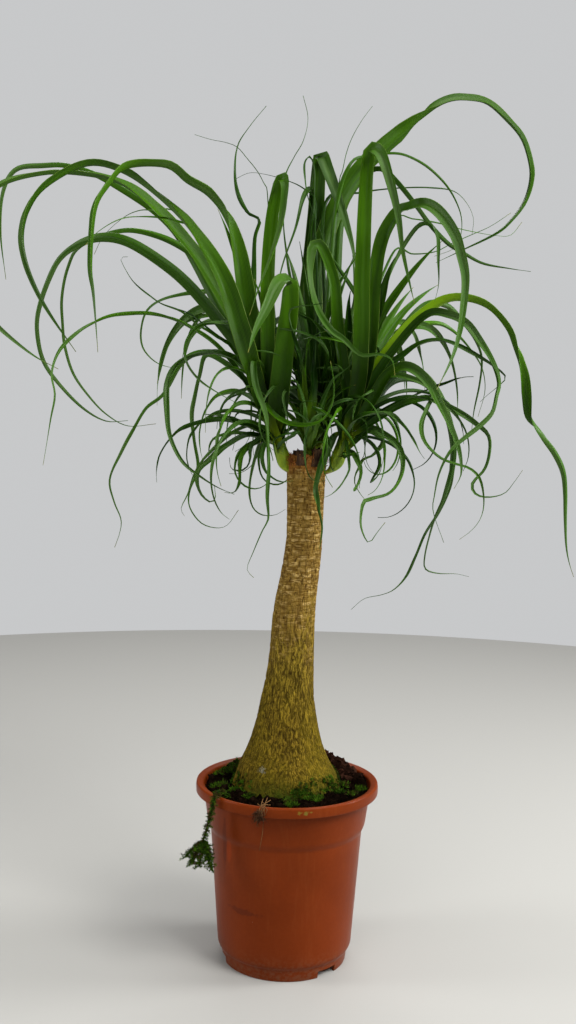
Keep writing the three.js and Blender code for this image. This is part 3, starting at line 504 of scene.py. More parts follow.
DRAIN_SIDES = 24
POT_SIDES = 168
ROUND_STEPS = 5
SHARP_ANGLE = math.radians(50)


def wall_radius(height):
    """Outer radius of the pot's wall at a height"""
    heights = (CORNER_HEIGHT, STEP_HEIGHT, COLLAR_HEIGHT, POT_HEIGHT)
    return np.interp(height, heights, (CORNER_RADIUS, STEP_RADIUS, COLLAR_RADIUS, RIM_RADIUS - RIM_WIDTH))


def rounded(corners):
    """A section through corners (radius, height, rounding), each rounding a short curve"""
    made = []
    for i, (r, z, rounding) in enumerate(corners):
        corner = np.array((r, z))
        if rounding == 0:
            made.append(corner)
            continue
        ends = [np.array(corners[k][:2]) for k in (i - 1, i + 1)]
        ends = [corner + (end - corner) * min(0.5, rounding / np.linalg.norm(end - corner)) for end in ends]
        for t in np.linspace(0, 1, ROUND_STEPS):
            made.append(ends[0] * (1 - t) ** 2 + corner * 2 * t * (1 - t) + ends[1] * t ** 2)
    return made


def lathe(name, section, sides):
    """A body turned round the upright axis, from a section that starts and ends on it"""
    turns = turns_round(sides)
    circle = np.stack([np.cos(turns), np.sin(turns)], axis=1)
    rows = [np.column_stack([circle * r, np.full(sides, z)]) for r, z in section[1:-1]]
    points = [(0, 0, section[0][1]), *np.vstack(rows), (0, 0, section[-1][1])]
    faces = []
    last = len(points) - 1
    for j in range(sides):
        after = (j + 1) % sides
        faces.append((0, 1 + after, 1 + j))
        for low in range(1, last - sides, sides):
            faces.append((low + j, low + after, low + sides + after, low + sides + j))
        faces.append((last - sides + j, last - sides + after, last))
    return mesh_of(name, points, faces)


def pot_cutters():
    """The foot's notches and the base's drain holes, as one mesh"""
    build = bmesh.new()
    length = 2 * FOOT_RADIUS * math.sin(math.radians(NOTCH_SPAN / 2))
    for middle in NOTCH_MIDDLES:
        turned = Matrix.Rotation(math.radians(middle - 90), 4, "Z")
        placed_at = Matrix.Translation((FOOT_RADIUS, 0, 0))
        size = Matrix.Diagonal((NOTCH_DEPTH, length, 2 * NOTCH_HEIGHT, 1))
        bmesh.ops.create_cube(build, size=1, matrix=turned @ placed_at @ size)
    for turn in turns_round(DRAIN_COUNT):
        at = Matrix.Translation(round_point(DRAIN_RING, turn, BASE_UNDERSIDE))
        bmesh.ops.create_cone(build, cap_ends=True, segments=DRAIN_SIDES, radius1=DRAIN_RADIUS,
                              radius2=DRAIN_RADIUS, depth=DRAIN_DEPTH, matrix=at)
    return built("cutters", build)


def pot_section():
    """The shell's section: under the base, up outside, over the rim and down inside"""
    under_rim = POT_HEIGHT - RIM_SLOPE - WALL - MM
    skirt = POT_HEIGHT - RIM_HEIGHT
    outside = [(wall_radius(z), z, rounding) for z, rounding in (
        (STEP_HEIGHT, 2 * MM), (COLLAR_HEIGHT, 3.5 * MM), (under_rim, MM))]
    inside = [(wall_radius(z) - WALL, z - lower, rounding) for z, lower, rounding in (
        (POT_HEIGHT, RIM_SLOPE, 2 * MM), (COLLAR_HEIGHT, 0, 2 * MM), (STEP_HEIGHT, 0, 2 * MM),
        (CORNER_HEIGHT, -2 * MM, 3 * MM))]
    return rounded([
        (0, BASE_UNDERSIDE, 0), (FOOT_RADIUS - FOOT_WIDTH, BASE_UNDERSIDE, 0.8 * MM),
        (FOOT_RADIUS - FOOT_WIDTH, 0, 0.5 * MM), (FOOT_RADIUS, 0, 0.8 * MM),
        (FOOT_RADIUS + 2 * MM, CORNER_HEIGHT - 5 * MM, 3.5 * MM),
        (CORNER_RADIUS - MM, CORNER_HEIGHT - MM, 6 * MM),
        *outside,
        (RIM_RADIUS - WALL - 0.6 * MM, under_rim, MM), (RIM_RADIUS - WALL, skirt, 0.4 * MM),
        (RIM_RADIUS - 0.4 * MM, skirt, 0.5 * MM), (RIM_RADIUS, POT_HEIGHT - 6 * MM, 3 * MM),
        (RIM_RADIUS - 0.8 * MM, POT_HEIGHT, 3.2 * MM),
        *inside,
        (CORNER_RADIUS - 4.5 * MM, BASE_TOP + 5 * MM, 3 * MM),
        (FOOT_RADIUS - 1.5 * MM, BASE_TOP, 2 * MM), (0, BASE_TOP, 0),
    ])


def make_pot():
    whole = in_scene("pot_whole", lathe("pot_whole", pot_section(), POT_SIDES))
    cutters = in_scene("pot_cutters", pot_cutters())
    cut = whole.modifiers.new("cut", "BOOLEAN")
    cut.operation = "DIFFERENCE"
    cut.solver = "EXACT"
    cut.object = cutters
    graph = bpy.context.evaluated_depsgraph_get()
    mesh = bpy.data.meshes.new_from_object(whole.evaluated_get(graph))
    for made in (whole, cutters):
        bpy.data.objects.remove(made)
    mesh.name = "pot_shell"
    mesh.shade_smooth()
    mesh.set_sharp_from_angle(angle=SHARP_ANGLE)
    piece("pot_shell", mesh, pot_material(), ["pot"])


# Marks on the pot's wall: place, reach, raggedness, scale of the ragged edge, colour, strength
POT_MARKS = [
    # Painted shade: a dark upright line down the left of the wall, the shade of a crease
    ((-0.0690, -0.0570, 0.155), (0.0030, 0.016, 0.044), 0.9, 80, (74, 26, 8), 0.55),
    # Painted reflection: a deeper orange patch below the collar, where the wall's sheen breaks off
    ((-0.0636, -0.0607, 0.1445), (0.0036, 0.016, 0.016), 0.6, 90, (132, 48, 4), 0.75),
    ((-0.050, -0.074, 0.078), (0.026, 0.030, 0.0045), 1.6, 170, (58, 22, 14), 0.4),
    ((0.058, -0.070, 0.152), (0.0016, 0.004, 0.0016), 0.4, 300, (40, 16, 8), 0.9),
    ((0.050, -0.070, 0.070), (0.0014, 0.004, 0.0014), 0.4, 300, (60, 20, 12), 0.9),
    ((0.032, -0.078, 0.052), (0.0016, 0.004, 0.0016), 0.4, 300, (50, 16, 10), 0.9),
    ((-0.036, -0.077, 0.069), (0.0012, 0.004, 0.0009), 0.3, 300, (220, 200, 180), 0.9),
    ((0.014, -0.105, 0.2040), (0.0034, 0.008, 0.0020), 2.4, 420, (118, 100, 34), 0.8),
    ((0.021, -0.104, 0.2035), (0.0026, 0.008, 0.0024), 2.4, 420, (112, 104, 40), 0.8),
    ((0.027, -0.103, 0.2045), (0.0018, 0.008, 0.0014), 2.4, 420, (118, 108, 44), 0.7),
]


def pot_material():
    tree = Finish("terracotta plastic", 0.34, 0.07)
    tone = tree.tone(14.0, 260.0, 0.25)
    dusty = tree.times(tree.ranged(tree.height(), 0.04, 0.0), tone["Specks"])
    streaks = tree.tone(70.0, 420.0, 0.4, (1, 1, 0.08))["Value"]
    colour = tree.coated(
        tree.blended(tone["Value"], (104, 40, 7), (117, 47, 12)),
        (dusty, (104, 80, 62), 0.4),
        (tree.ranged(streaks, 0.55, 1.0), (150, 84, 44), 0.07),
        *[(tree.mark(*mark), tint, strength) for *mark, tint, strength in POT_MARKS])
    rough_share = tree.ranged(streaks, 0.0, 1.0, 0.3, 0.44, smooth=False)
    normal = tree.relief(420.0, 0.00012, 0.35, (1, 1, 0.6))
    return tree.set(Base_Color=colour, Roughness=rough_share, Normal=normal)


# Trunk: (height, middle x, radius) in millimetres, then its relief

TRUNK = [
    (118, 0, 24), (140, 0, 46), (160, 0, 58), (180, 0, 63), (195, 0, 63.5), (205, -1, 62),
    (217, -1.5, 58), (230, -3, 52.5), (243, -3, 46.5), (256, -3, 41.5), (270, -2.5, 37.5),
    (287, -2, 33.5), (305, -1.5, 30.5), (325, 0, 28), (347, 1.5, 26.2), (370, 2.5, 25),
    (395, 3.6, 24.5), (420, 5.8, 23.6), (445, 9.6, 22.2), (470, 12.6, 21.1), (495, 14.3, 20.6),
    (520, 14.8, 21), (545, 15, 21.8), (568, 15, 22.4), (587, 15, 22),
]
TRUNK_SIDES = 220
TRUNK_RINGS = 300
BURIED = 0.175
BURIED_RINGS = 6
SCARS_FROM = 0.36
SCARS_TO = 0.46
# Noise along x, y and z: the furrows, the small relief between them, the upper rings, the broad swells
FURROW_NOISE = (190, 190, 46)
SMALL_NOISE = (430, 430, 120)
RING_NOISE = (60, 60, 230)
SWELL_NOISE = (1.8, 1.8, 14)
SWELL = 1.1 * MM
FURROW_WIDTH = 0.22
FURROW_DEPTHS = (0.9, 0.35)
PLATE_LEVEL = 0.4
SMALL_DEPTH = 0.3
TORN_NOISE = 6
TORN_CHANGE = 0.4
TORN_REACH = 0.8 * MM
TORN_RISE = 2.6 * MM
FOOT_MOSS_HEIGHTS = (0.203, 0.23)
FOOT_MOSS_SIDE = (-0.01, 0.025)
FOOT_MOSS_LUSH = 0.4
FOOT_MOSS_PATCHES = (34, 1.4)
# Steps inward over the cut and down into the hollow: (inset, rise) in millimetres, how hollow, how torn
CUT_SECTION = [
    ((0.9, 0.4), 0.35, 1.0), ((2.6, 0.2), 0.35, 1.0), ((4, -1.5), 1.0, 0.4), ((5.5, -7), 1.0, 0.4),
    ((13, -8), 1.0, 0.4),
]


def trunk_section(heights):
    """Middle x and radius of the trunk at some heights"""
    smooth = smooth_curve(TRUNK, 12 * len(TRUNK)) * MM
    return np.interp(heights, smooth[:, 0], smooth[:, 1]), np.interp(heights, smooth[:, 0], smooth[:, 2])


def bark_relief(point, height):
    """Depth of the bark at a point, and how open its fissures are"""
    upper = float(smooth_ramp(SCARS_FROM, SCARS_TO, height))
    low, small, ring = (rough_at(point, scales) for scales in (FURROW_NOISE, SMALL_NOISE, RING_NOISE))
    furrow = 1 - float(smooth_ramp(0.0, FURROW_WIDTH, abs(low + 0.25 * small)))
    grain = SMALL_DEPTH * small
    depth = mix(*FURROW_DEPTHS, upper) * (PLATE_LEVEL - furrow) + grain + SMALL_DEPTH * upper * ring
    return depth * MM, furrow


def foot_moss(point):
    """How much moss grows at a point of the trunk's foot, from 0 to 1"""
    low = 1 - float(smooth_ramp(*FOOT_MOSS_HEIGHTS, point.z))
    lush = mix(0.0, FOOT_MOSS_LUSH, float(smooth_ramp(*FOOT_MOSS_SIDE, point.x)))
    scale, strength = FOOT_MOSS_PATCHES
    return low * min(1.0, max(0.0, lush + strength * noise(point * scale)))


def make_trunk():
    """The trunk with its bark, up to the ragged cut and the dark hollow in it"""
    foot, top = TRUNK[0][0] * MM, TRUNK[-1][0] * MM
    buried = np.linspace(foot, BURIED, BURIED_RINGS, endpoint=False)
    heights = np.concatenate([buried, np.linspace(BURIED, top, TRUNK_RINGS)])
    middles, radii = trunk_section(heights)
    turns = turns_round(TRUNK_SIDES)
    rings, grooves = [], []
    for height, middle, radius in zip(heights, middles, radii):
        ring = []
        for turn in turns:
            way = Vector((math.cos(turn), math.sin(turn), 0))
            point = Vector((middle, 0, height)) + way * radius
            depth, furrow = bark_relief(point, height)
            swell = SWELL * rough_at((way.x, way.y, height), SWELL_NOISE)
            ring.append(point + way * (depth + swell))
            grooves.append(furrow)
        rings.append(ring)
    cuts = [0.0] * len(grooves)
    for (inset, drop), hollow, ragged in CUT_SECTION:
        ring = []
        for turn in turns:
            torn = rough(*round_point(TORN_NOISE, turn, inset * TORN_CHANGE))
            reach = radii[-1] - inset * MM + TORN_REACH * torn
            rise = drop * MM + TORN_RISE * torn * ragged
            ring.append(round_point(reach, turn, top + rise, middles[-1]))
            grooves.append(0.5 + 0.5 * torn)
            cuts.append(hollow)
        rings.append(ring)
    mesh = ring_mesh("trunk_bark", rings)
    centres = np.repeat([*middles, *[middles[-1]] * len(CUT_SECTION)], TRUNK_SIDES)
    mossy = [foot_moss(vertex.co) for vertex in mesh.vertices]
    set_values(mesh, groove=grooves, centre_x=centres, cut=cuts, mossy=mossy)
    piece("trunk_bark", mesh, bark_material(), ["trunk"])
    return mesh


def scar_group():
    """Rows of old leaf scars round the trunk: light dashes, dark upright gaps and a tone for each scar"""
    inputs = {"Rows": 152.0, "Columns": 10.0, "Uneven": 0.005}
    tree = new_tree("leaf scars", "ShaderNodeTree", inputs, dict.fromkeys(("Dash", "Gap", "Rings"), "Float"))
    columns = tree.given["Columns"]
    place = tree.place()
    split = tree.split(place)
    shift = tree.times(tree.minus(tree.noise(place, 90.0, 2.0), 0.5), tree.given["Uneven"])
    angle = tree.maths("ARCTAN2", split["Y"], tree.minus(split["X"], tree.read("centre_x")))
    turn = tree.maths("DIVIDE", angle, 2 * math.pi)
    climb = tree.times(tree.plus(split["Z"], shift), tree.given["Rows"])
    row, rise = tree.maths("FLOOR", climb), tree.maths("FRACT", climb)
    offset = tree.out("ShaderNodeTexWhiteNoise", {"W": row}, "Value", noise_dimensions="1D")
    across = tree.plus(tree.plus(tree.times(turn, columns), offset), tree.times(shift, 90.0))
    column = tree.maths("FLOORED_MODULO", tree.maths("FLOOR", across), columns)
    width = tree.maths("FRACT", across)
    cell = {"Vector": tree.combined(row, column, None)}
    tone = tree.out("ShaderNodeTexWhiteNoise", cell, "Value", noise_dimensions="2D")
    light = tree.times(tree.ranged(rise, 0.22, 0.4), tree.ranged(rise, 0.98, 0.8))
    ends = tree.times(tree.ranged(width, 0.1, 0.22), tree.ranged(width, 0.95, 0.8))
    rings = tree.noise(tree.vectors("MULTIPLY", place, (1.0, 1.0, 5.5)), 130.0, 3.0)
    seen = tree.times(tree.ranged(tone, 0.0, 0.8), tree.ranged(rings, 0.4, 0.58))
    fine = tree.noise(place, 160.0, 1.0)
    gap = tree.times(tree.ranged(width, 0.13, 0.05), tree.ranged(fine, 0.42, 0.55))
    return tree.done(Dash=tree.times(light, ends, seen), Rings=tree.ranged(rings, 0.35, 0.65), Gap=gap)


def flake_group():
    """Upright flakes of old bark: dark broken lines between them, and fine fibres"""
    inputs = {"Scale": 300.0, "Stretch": 0.3}
    tree = new_tree("bark flakes", "ShaderNodeTree", inputs, {"Line": "Float", "Fibre": "Float"})
    place = tree.place()
    lean = tree.noise(place, 120.0, 2.0, "Color")
    moved = tree.vectors("ADD", place, tree.scaled(tree.vectors("SUBTRACT", lean, (0.5, 0.5, 0.5)), 0.006))
    tall = tree.vectors("MULTIPLY", moved, tree.combined(1.0, 1.0, tree.given["Stretch"]))
    sockets = {"Vector": tall, "Scale": tree.given["Scale"]}
    edge = tree.out("ShaderNodeTexVoronoi", sockets, "Distance", feature="DISTANCE_TO_EDGE")
    broken = tree.ranged(tree.noise(place, 110.0, 2.0), 0.4, 0.62)
    fibre = tree.noise(tree.vectors("MULTIPLY", moved, (1.0, 1.0, 0.13)), 620.0, 3.0)
    line = tree.times(tree.ranged(edge, 0.16, 0.02), broken)
    return tree.done(Line=line, Fibre=tree.ranged(fibre, 0.32, 0.68))


def bark_material():
    tree = Finish("bark", 0.85, 0.04)
    height, cut = tree.height(), tree.read("cut")
    scars, flakes = tree.group(scar_group()), tree.group(flake_group())
    broad = tree.tone(42.0, 420.0, 0.3, (1, 1, 0.4))
    green = tree.tone(20.0, 150.0, 0.25, (1, 1, 0.5))["Value"]
    upper = tree.ranged(tree.plus(height, tree.times(broad["Value"], 0.07)), 0.36, 0.48)
    light = tree.blended(tree.ranged(height, 0.27, 0.37), (142, 117, 35), (172, 147, 50))
    low_plate = tree.blended(flakes["Fibre"], (48, 36, 8), light)
    high_plate = tree.blended(scars["Rings"], (112, 83, 32), (166, 135, 66))
    high_plate = tree.coated(high_plate, (flakes["Fibre"], (122, 92, 38), 0.4))
    algae = tree.times(tree.ranged(height, 0.38, 0.25), green)
    dash = tree.times(scars["Dash"], tree.ranged(upper, 0.0, 1.0, 0.0, 0.8))
    dry = tree.times(tree.ranged(height, 0.560, 0.578), tree.ranged(green, 0.2, 0.7))
    foot = tree.times(tree.ranged(height, 0.236, 0.2), green)
    fleck = tree.mark((-0.028, -0.038, 0.232), (0.0058, 0.014, 0.005), 1.6, 420.0)
    line = tree.times(flakes["Line"], tree.ranged(upper, 0.0, 1.0, 0.7, 0.4))
    dark = tree.maths("MAXIMUM", line, tree.times(scars["Gap"], upper))
    dark = tree.maths("MAXIMUM", dark, tree.times(tree.read("groove"), 0.5))
    fissure = tree.blended(upper, (44, 34, 8), (54, 32, 14))
    rim = tree.blended(broad["Specks"], (96, 50, 20), (150, 92, 44))
    inside = tree.blended(broad["Specks"], (10, 7, 5), (40, 26, 18))
    torn = tree.blended(tree.ranged(cut, 0.5, 0.9), rim, inside)
    colour = tree.coated(
        tree.blended(upper, low_plate, high_plate), (broad["Value"], (68, 50, 16), 0.42),
        (algae, (98, 88, 9), 0.55), (dash, (198, 168, 104)), (dry, (164, 98, 42), 0.65),
        (foot, (38, 58, 10)), (fleck, (150, 150, 130), 0.6), (dark, fissure, 0.85),
        (tree.ranged(cut, 0.0, 0.3), torn))
    raised = tree.minus(tree.plus(flakes["Fibre"], dash), tree.times(dark, 1.6))
    return tree.set(Base_Color=colour, Normal=tree.relief(620.0, 0.0009, 0.8, (1, 1, 0.35), raised))


# Dry stubs that stand in the cut: x, y, radius, foot and top in millimetres, lean to the side
STUBS = [
    (8.5, -17, 7.2, 576, 593, 0.0), (27, -16.5, 7.2, 575, 594, 0.0), (17, 7, 6, 572, 600, 0.1),
    (5, 6, 5, 572, 592, -0.1), (24, 14, 4, 574, 596, 0.2),
]
STUB_SIDES = 28
STUB_RINGS = 12
STUB_NOISE = 2.4
STUB_ROUGHNESS = 0.35
STUB_NARROWING = 0.25
STUB_TEAR_NOISE = 4
STUB_TEAR = 5

# Torn fibres round the cut: the ring that they stand on, in millimetres, and the ranges of their sizes
CUT_FIBRES = 260
CUT_MIDDLE = 15
CUT_RADIUS = 21.4
FIBRE_HEIGHTS = (574, 587)
FIBRE_RISES = (0.2, 1.2)
FIBRE_LENGTHS = (2.5 * MM, 8.5 * MM)
FIBRE_WIDTHS = (0.5 * MM, 0.2 * MM)
FIBRE_STEPS = 4
FIBRE_SLANT = 0.3


def make_stubs():
    """The dark dry stubs of old heads in the cut, with torn tops"""
    finish = dry_material("dry stub", (20, 12, 7), (92, 68, 48))
    for number, (x, y, radius, foot, top, lean) in enumerate(STUBS):
        rings = []
        for share in np.linspace(0, 1, STUB_RINGS + 1):
            ring = []
            for turn in turns_round(STUB_SIDES):
                uneven = rough(*round_point(STUB_NOISE, turn, number * 5 + share))
                torn = rough(*round_point(STUB_TEAR_NOISE, turn, number))
                reach = radius * (1 - STUB_NARROWING * share) * (1 + STUB_ROUGHNESS * uneven)
                height = mix(foot, top, share) + share * STUB_TEAR * torn
                ring.append(Vector(round_point(reach, turn, height, x + lean * (height - foot), y)) * MM)
            rings.append(ring)
        piece(f"dry_stub_{number}", ring_mesh(f"dry_stub_{number}", rings), finish)


def thin_stem(start, way, side, steps, widths, leafy=(0.0, 0.0)):
    """Rows (point, thickness, leafiness) of a stem that starts off one way and bends to a side"""
    shares = [k / steps for k in range(steps + 1)]
    return [(start + way * t + side * t ** 2, mix(*widths, t), mix(*leafy, t)) for t in shares]


def line_mesh(name, lines):
    """Lines of (point, thickness, leafiness) rows as one mesh of edges"""
    rows, edges = [], []
    for line in lines:
        edges += [(len(rows) + i, len(rows) + i + 1) for i in range(len(line) - 1)]
        rows += line
    points, thick, leafy = zip(*rows)
    mesh = bpy.data.meshes.new(name)
    mesh.from_pydata([tuple(point) for point in points], edges, [])
    set_values(mesh, thick=thick, leafy=leafy)
    return mesh


def bare_stems(name, lines, nodes, finish):
    """A piece of thin leafless stems along lines"""
    bare = {"spacing": 0.05, "least_size": 0.0, "most_size": 0.0, "seed": 2}
    strewn(name, line_mesh("bare_lines", lines), nodes, spike_tuft("bare", 1, 1, 0.1), "bark", finish, **bare)


def make_cut_fibres(nodes):
    """Torn orange-brown fibres round the cut"""
    lines = []
    for i in range(CUT_FIBRES):
        turn = 2 * math.pi * draw(81, i)
        way = Vector(round_point(0.5, turn, mix(*FIBRE_RISES, draw(82, i)))).normalized()
        start = Vector(round_point(CUT_RADIUS, turn, mix(*FIBRE_HEIGHTS, draw(83, i)), CUT_MIDDLE)) * MM
        reach = mix(*FIBRE_LENGTHS, draw(84, i))
        side = way.cross(Vector((math.sin(turn), -math.cos(turn), FIBRE_SLANT))) * (draw(85, i) - 0.5) * reach
        lines.append(thin_stem(start, way * reach, side, FIBRE_STEPS, FIBRE_WIDTHS))
    bare_stems("cut_fibres", lines, nodes, dry_material("torn fibre", (88, 44, 16), (164, 104, 50)))


def dry_material(name, dark, light):
    """A dry woody finish between two tones"""
    tree = Finish(name, 0.85, 0.1)
    tone = tree.tone(190.0, 900.0, 0.4, (1, 1, 0.25))
    colour = tree.blended(tone["Value"], dark, light)
    return tree.set(Base_Color=colour, Normal=tree.relief(900.0, 0.0005, 0.7, (1, 1, 0.2)))


# Soil, crumbs and moss

SOIL_LEVEL = 194 * MM
SOIL_LUMPS = [
    # x, y, height, spread in millimetres
    (58, 50, 26, 15), (36, 70, 23, 14), (78, 26, 15, 12), (86, 8, 12, 8),
    (-58, 46, 17, 18), (-80, 8, 14, 13), (-38, 74, 15, 16),
]
SOIL_RIPPLE = 1.1
SOIL_WAVES = ((0.13, 1.7), (0.11, 0.4))
SOIL_GAP = 0.35 * MM
SOIL_SIDES = 180
SOIL_TOP_RINGS = 40
SOIL_MIDDLE = 44 * MM
SOIL_SHADE = 0.2
# Roughness of the soil's top: height in millimetres, seed, scale
SOIL_NOISES = ((2.8, 0, 130), (1.4, 3, 380))
MOSS_PATCHES = [
    # x, y, spread in millimetres, cover: the back left, by the strand, the front, the right, the back
    (-80, 30, 10, 0.9), (-62, 42, 9, 0.9), (-78, -18, 7, 1.0), (-60, -34, 5, 0.8), (-43, -57, 5, 0.8),
    (2, -70, 6, 1.0), (4, -82, 5, 0.9), (31, -60, 8, 1.1), (58, -34, 5, 0.8), (64, -4, 6, 0.9),
    (84, -20, 6, 0.9), (74, -40, 5, 0.8), (-20, 70, 10, 0.7), (24, 84, 7, 0.7),
]
MOSS_RAGGED = 0.35
MOSS_NOISE = 0.16
MOSS_SEED = 4.0
MOSS_FROM = 0.42
MOSS_FULL = 0.25
MOSS_DENSITY = 260000.0
# The loose top of the soil stands higher than the fixed model's, in millimetres, most of all in front
LEAST_RISE = 8
FRONT_RISE = 11
FRONT_SPAN = (10, -55)


def soil_height(x, y):
    """Height of the soil at x and y in millimetres, in metres"""
    lumps = sum(high * np.exp(-((x - lx) ** 2 + (y - ly) ** 2) / (2 * spread ** 2))
                for lx, ly, high, spread in SOIL_LUMPS)
    waves = [np.sin(at * often + start) for at, (often, start) in zip((x, y), SOIL_WAVES)]
    ripple = SOIL_RIPPLE * waves[0] * waves[1]
    loose = mix(LEAST_RISE, FRONT_RISE, smooth_ramp(*FRONT_SPAN, y))
    return SOIL_LEVEL + (np.maximum(lumps, loose) + ripple) * MM


def moss_cover(x, y):
    """How much moss grows at x and y in millimetres, from 0 to 1"""
    away = [cover * math.exp(-((x - mx) ** 2 + (y - my) ** 2) / (2 * spread ** 2))
            for mx, my, spread, cover in MOSS_PATCHES]
    ragged = MOSS_RAGGED * rough(x * MOSS_NOISE, y * MOSS_NOISE, MOSS_SEED)
    return float(smooth_ramp(MOSS_FROM, MOSS_FROM + MOSS_FULL, max(away) + ragged))


def soil_reach(height):
    """Radius of the soil where it meets the pot's wall"""
    return wall_radius(height) - WALL - SOIL_GAP


def soil_mesh():
    bottom = BASE_TOP + SOIL_GAP
    sides = [(FOOT_RADIUS - 2.7 * MM, bottom), (CORNER_RADIUS - 5.7 * MM, bottom + 5 * MM)]
    sides += [(soil_reach(z), z) for z in (CORNER_HEIGHT + 2 * MM, STEP_HEIGHT, COLLAR_HEIGHT)]
    turns = turns_round(SOIL_SIDES)
    rings = [[round_point(radius, turn, z) for turn in turns] for radius, z in sides]
    for i in range(SOIL_TOP_RINGS):
        radius = mix(soil_reach(SOIL_LEVEL) - SOIL_GAP, SOIL_MIDDLE, i / (SOIL_TOP_RINGS - 1))
        ring = []
        for turn in turns:
            x, y, _ = round_point(radius, turn)
            uneven = sum(high * noise(Vector((x, y, z)) * scale) for high, z, scale in SOIL_NOISES)
            ring.append((x, y, float(soil_height(x / MM, y / MM)) + (uneven * MM if i else 0)))
        rings.append(ring)
    mesh = ring_mesh("soil_body", rings)
    edge = soil_reach(SOIL_LEVEL) - 2 * MM
    places = [vertex.co for vertex in mesh.vertices]
    top = [float(at.z > COLLAR_HEIGHT + 4 * MM and at.xy.length < edge) for at in places]
    cover = [moss_cover(at.x / MM, at.y / MM) * open_top for at, open_top in zip(places, top)]
    set_values(mesh, cover=cover, top=top, shade=[SOIL_SHADE] * len(top))
    return mesh


LUMP_SIZES = (1.25, 0.85, 0.7)
LUMP_NOISE = 3
LUMP_UNEVEN = 0.5
SPIKE_FACED = (0.3, 0.2, 0.93)
SPIKE_LENGTHS = (0.6, 1.0)
SPIKE_WIDEST = 0.45


def lump(name, seed, faces_round=1):
    """A small rough crumb, about one unit across"""
    build = bmesh.new()
    bmesh.ops.create_icosphere(build, subdivisions=faces_round, radius=0.5)
    for vertex in build.verts:
        uneven = 1 + LUMP_UNEVEN * noise(vertex.co * LUMP_NOISE + Vector((seed, seed * 2, 0)))
        vertex.co = Vector([part * size for part, size in zip(vertex.co, LUMP_SIZES)]) * uneven
    return built(name, build)


def spike_tuft(name, count, seed, spread, wide=0.09):
    """A tuft of little pointed leaves that stand out from the middle, about one unit high"""
    points, faces = [], []
    for i in range(count):
        turn = i * GOLDEN_TURN + seed
        lean = spread * math.sqrt((i + 0.5) / count)
        way = Vector((math.sin(lean) * math.cos(turn), math.sin(lean) * math.sin(turn), math.cos(lean)))
        side = way.cross(Vector(SPIKE_FACED)).normalized()
        up = way.cross(side)
        reach = mix(*SPIKE_LENGTHS, draw(seed, i))
        middle = way * reach * SPIKE_WIDEST
        first = len(points)
        points += [Vector(), middle + side * wide, middle + up * wide * 0.5, middle - side * wide,
                   way * reach]
        for a, b in ((1, 2), (2, 3), (3, 1)):
            faces.append((first, first + b, first + a))
            faces.append((first + 4, first + a, first + b))
    return mesh_of(name, points, faces, smooth=False)


SHADE_SEED = 77


def copies_on(tree, points, rotations, lean, lean_seed, *factors):
    """Copies of a tree's shape on points, each with its own size, turn and shade"""
    given = tree.given
    size = tree.times(tree.random(given["Least size"], given["Most size"], given["Seed"]), *factors)
    back = tree.times(lean, -1.0)
    ends = {0: tree.combined(back, back, -math.pi), 1: tree.combined(lean, lean, math.pi), 8: lean_seed}
    leans = tree.out("FunctionNodeRandomValue", ends, data_type="FLOAT_VECTOR")
    turned = tree.out("FunctionNodeEulerToRotation", {0: leans})
    rotation = tree.out("FunctionNodeRotateRotation", {0: rotations, 1: turned}, rotation_space="LOCAL")
    sockets = {"Object": given["Shape"], "As Instance": True}
    shape = tree.out("GeometryNodeObjectInfo", sockets, "Geometry")
    sockets = {"Points": points, "Instance": shape, "Rotation": rotation, "Scale": size}
    copies = tree.out("GeometryNodeInstanceOnPoints", sockets)
    return tree.stored(copies, "shade", tree.random(0.0, 1.0, SHADE_SEED), "INSTANCE")


def scatter_nodes():
    """Copies of a small shape, strewn over a surface where a named value allows them"""
    inputs = {"Surface": "Geometry", "Shape": "Object", "Cover name": "String", "Density": 1000.0,
              "Least size": 0.001, "Most size": 0.003, "Lean": 0.5, "Sunk": 0.0, "Seed": 1,
              "Finish": "Material"}
    tree = new_tree("strewn pieces", "GeometryNodeTree", inputs, {"Geometry": "Geometry"})
    given = tree.given
    density = tree.times(tree.value(given["Cover name"]), given["Density"])
    sockets = {"Mesh": given["Surface"], "Density": density, "Seed": given["Seed"]}
    points = tree.add("GeometryNodeDistributePointsOnFaces", sockets).outputs
    sunk = tree.scaled(points["Normal"], tree.times(given["Sunk"], -1.0))
    lowered = tree.out("GeometryNodeSetPosition", {"Geometry": points["Points"], "Offset": sunk})
    lean_seed = tree.plus(given["Seed"], 5.0)
    return tree.finished(copies_on(tree, lowered, points["Rotation"], given["Lean"], lean_seed))


def make_ground(scatter, trunk):
    """The soil with its crumbs, and the moss that grows on it and on the trunk's foot"""
    soil = soil_mesh()
    peat, moss = peat_material(), moss_material()
    tuft, foot_tuft = spike_tuft("tuft", 12, 1, 1.15), spike_tuft("foot_tuft", 9, 2, 1.2)
    kinds = [
        # name, surface, shape, slot, finish, cover, density, sizes in millimetres, lean, sunk, seed
        ("crumbs_fine", soil, lump("crumb", 1), "peat", peat, "top", 80000.0, (1.2, 3.4), 0.9, 0.2, 3),
        ("crumbs_coarse", soil, lump("chunk", 4, 2), "peat", peat, "top", 17000.0, (3.0, 9.5), 1.2, 0.6, 8),
        ("surface_moss", soil, tuft, "moss", moss, "cover", MOSS_DENSITY, (3.0, 8.0), 0.6, 0.0, 5),
        ("foot_moss", trunk, foot_tuft, "moss", moss, "mossy", MOSS_DENSITY, (2.4, 6.4), 0.7, 0.0, 6),
    ]
    for name, surface, shape, slot, finish, cover, density, (least, most), lean, sunk, seed in kinds:
        strewn(name, surface, scatter, shape, slot, finish, cover_name=cover, density=density,
               least_size=least * MM, most_size=most * MM, lean=lean, sunk=sunk * MM, seed=seed)
    piece("soil_ground", soil, peat, ["soil"])


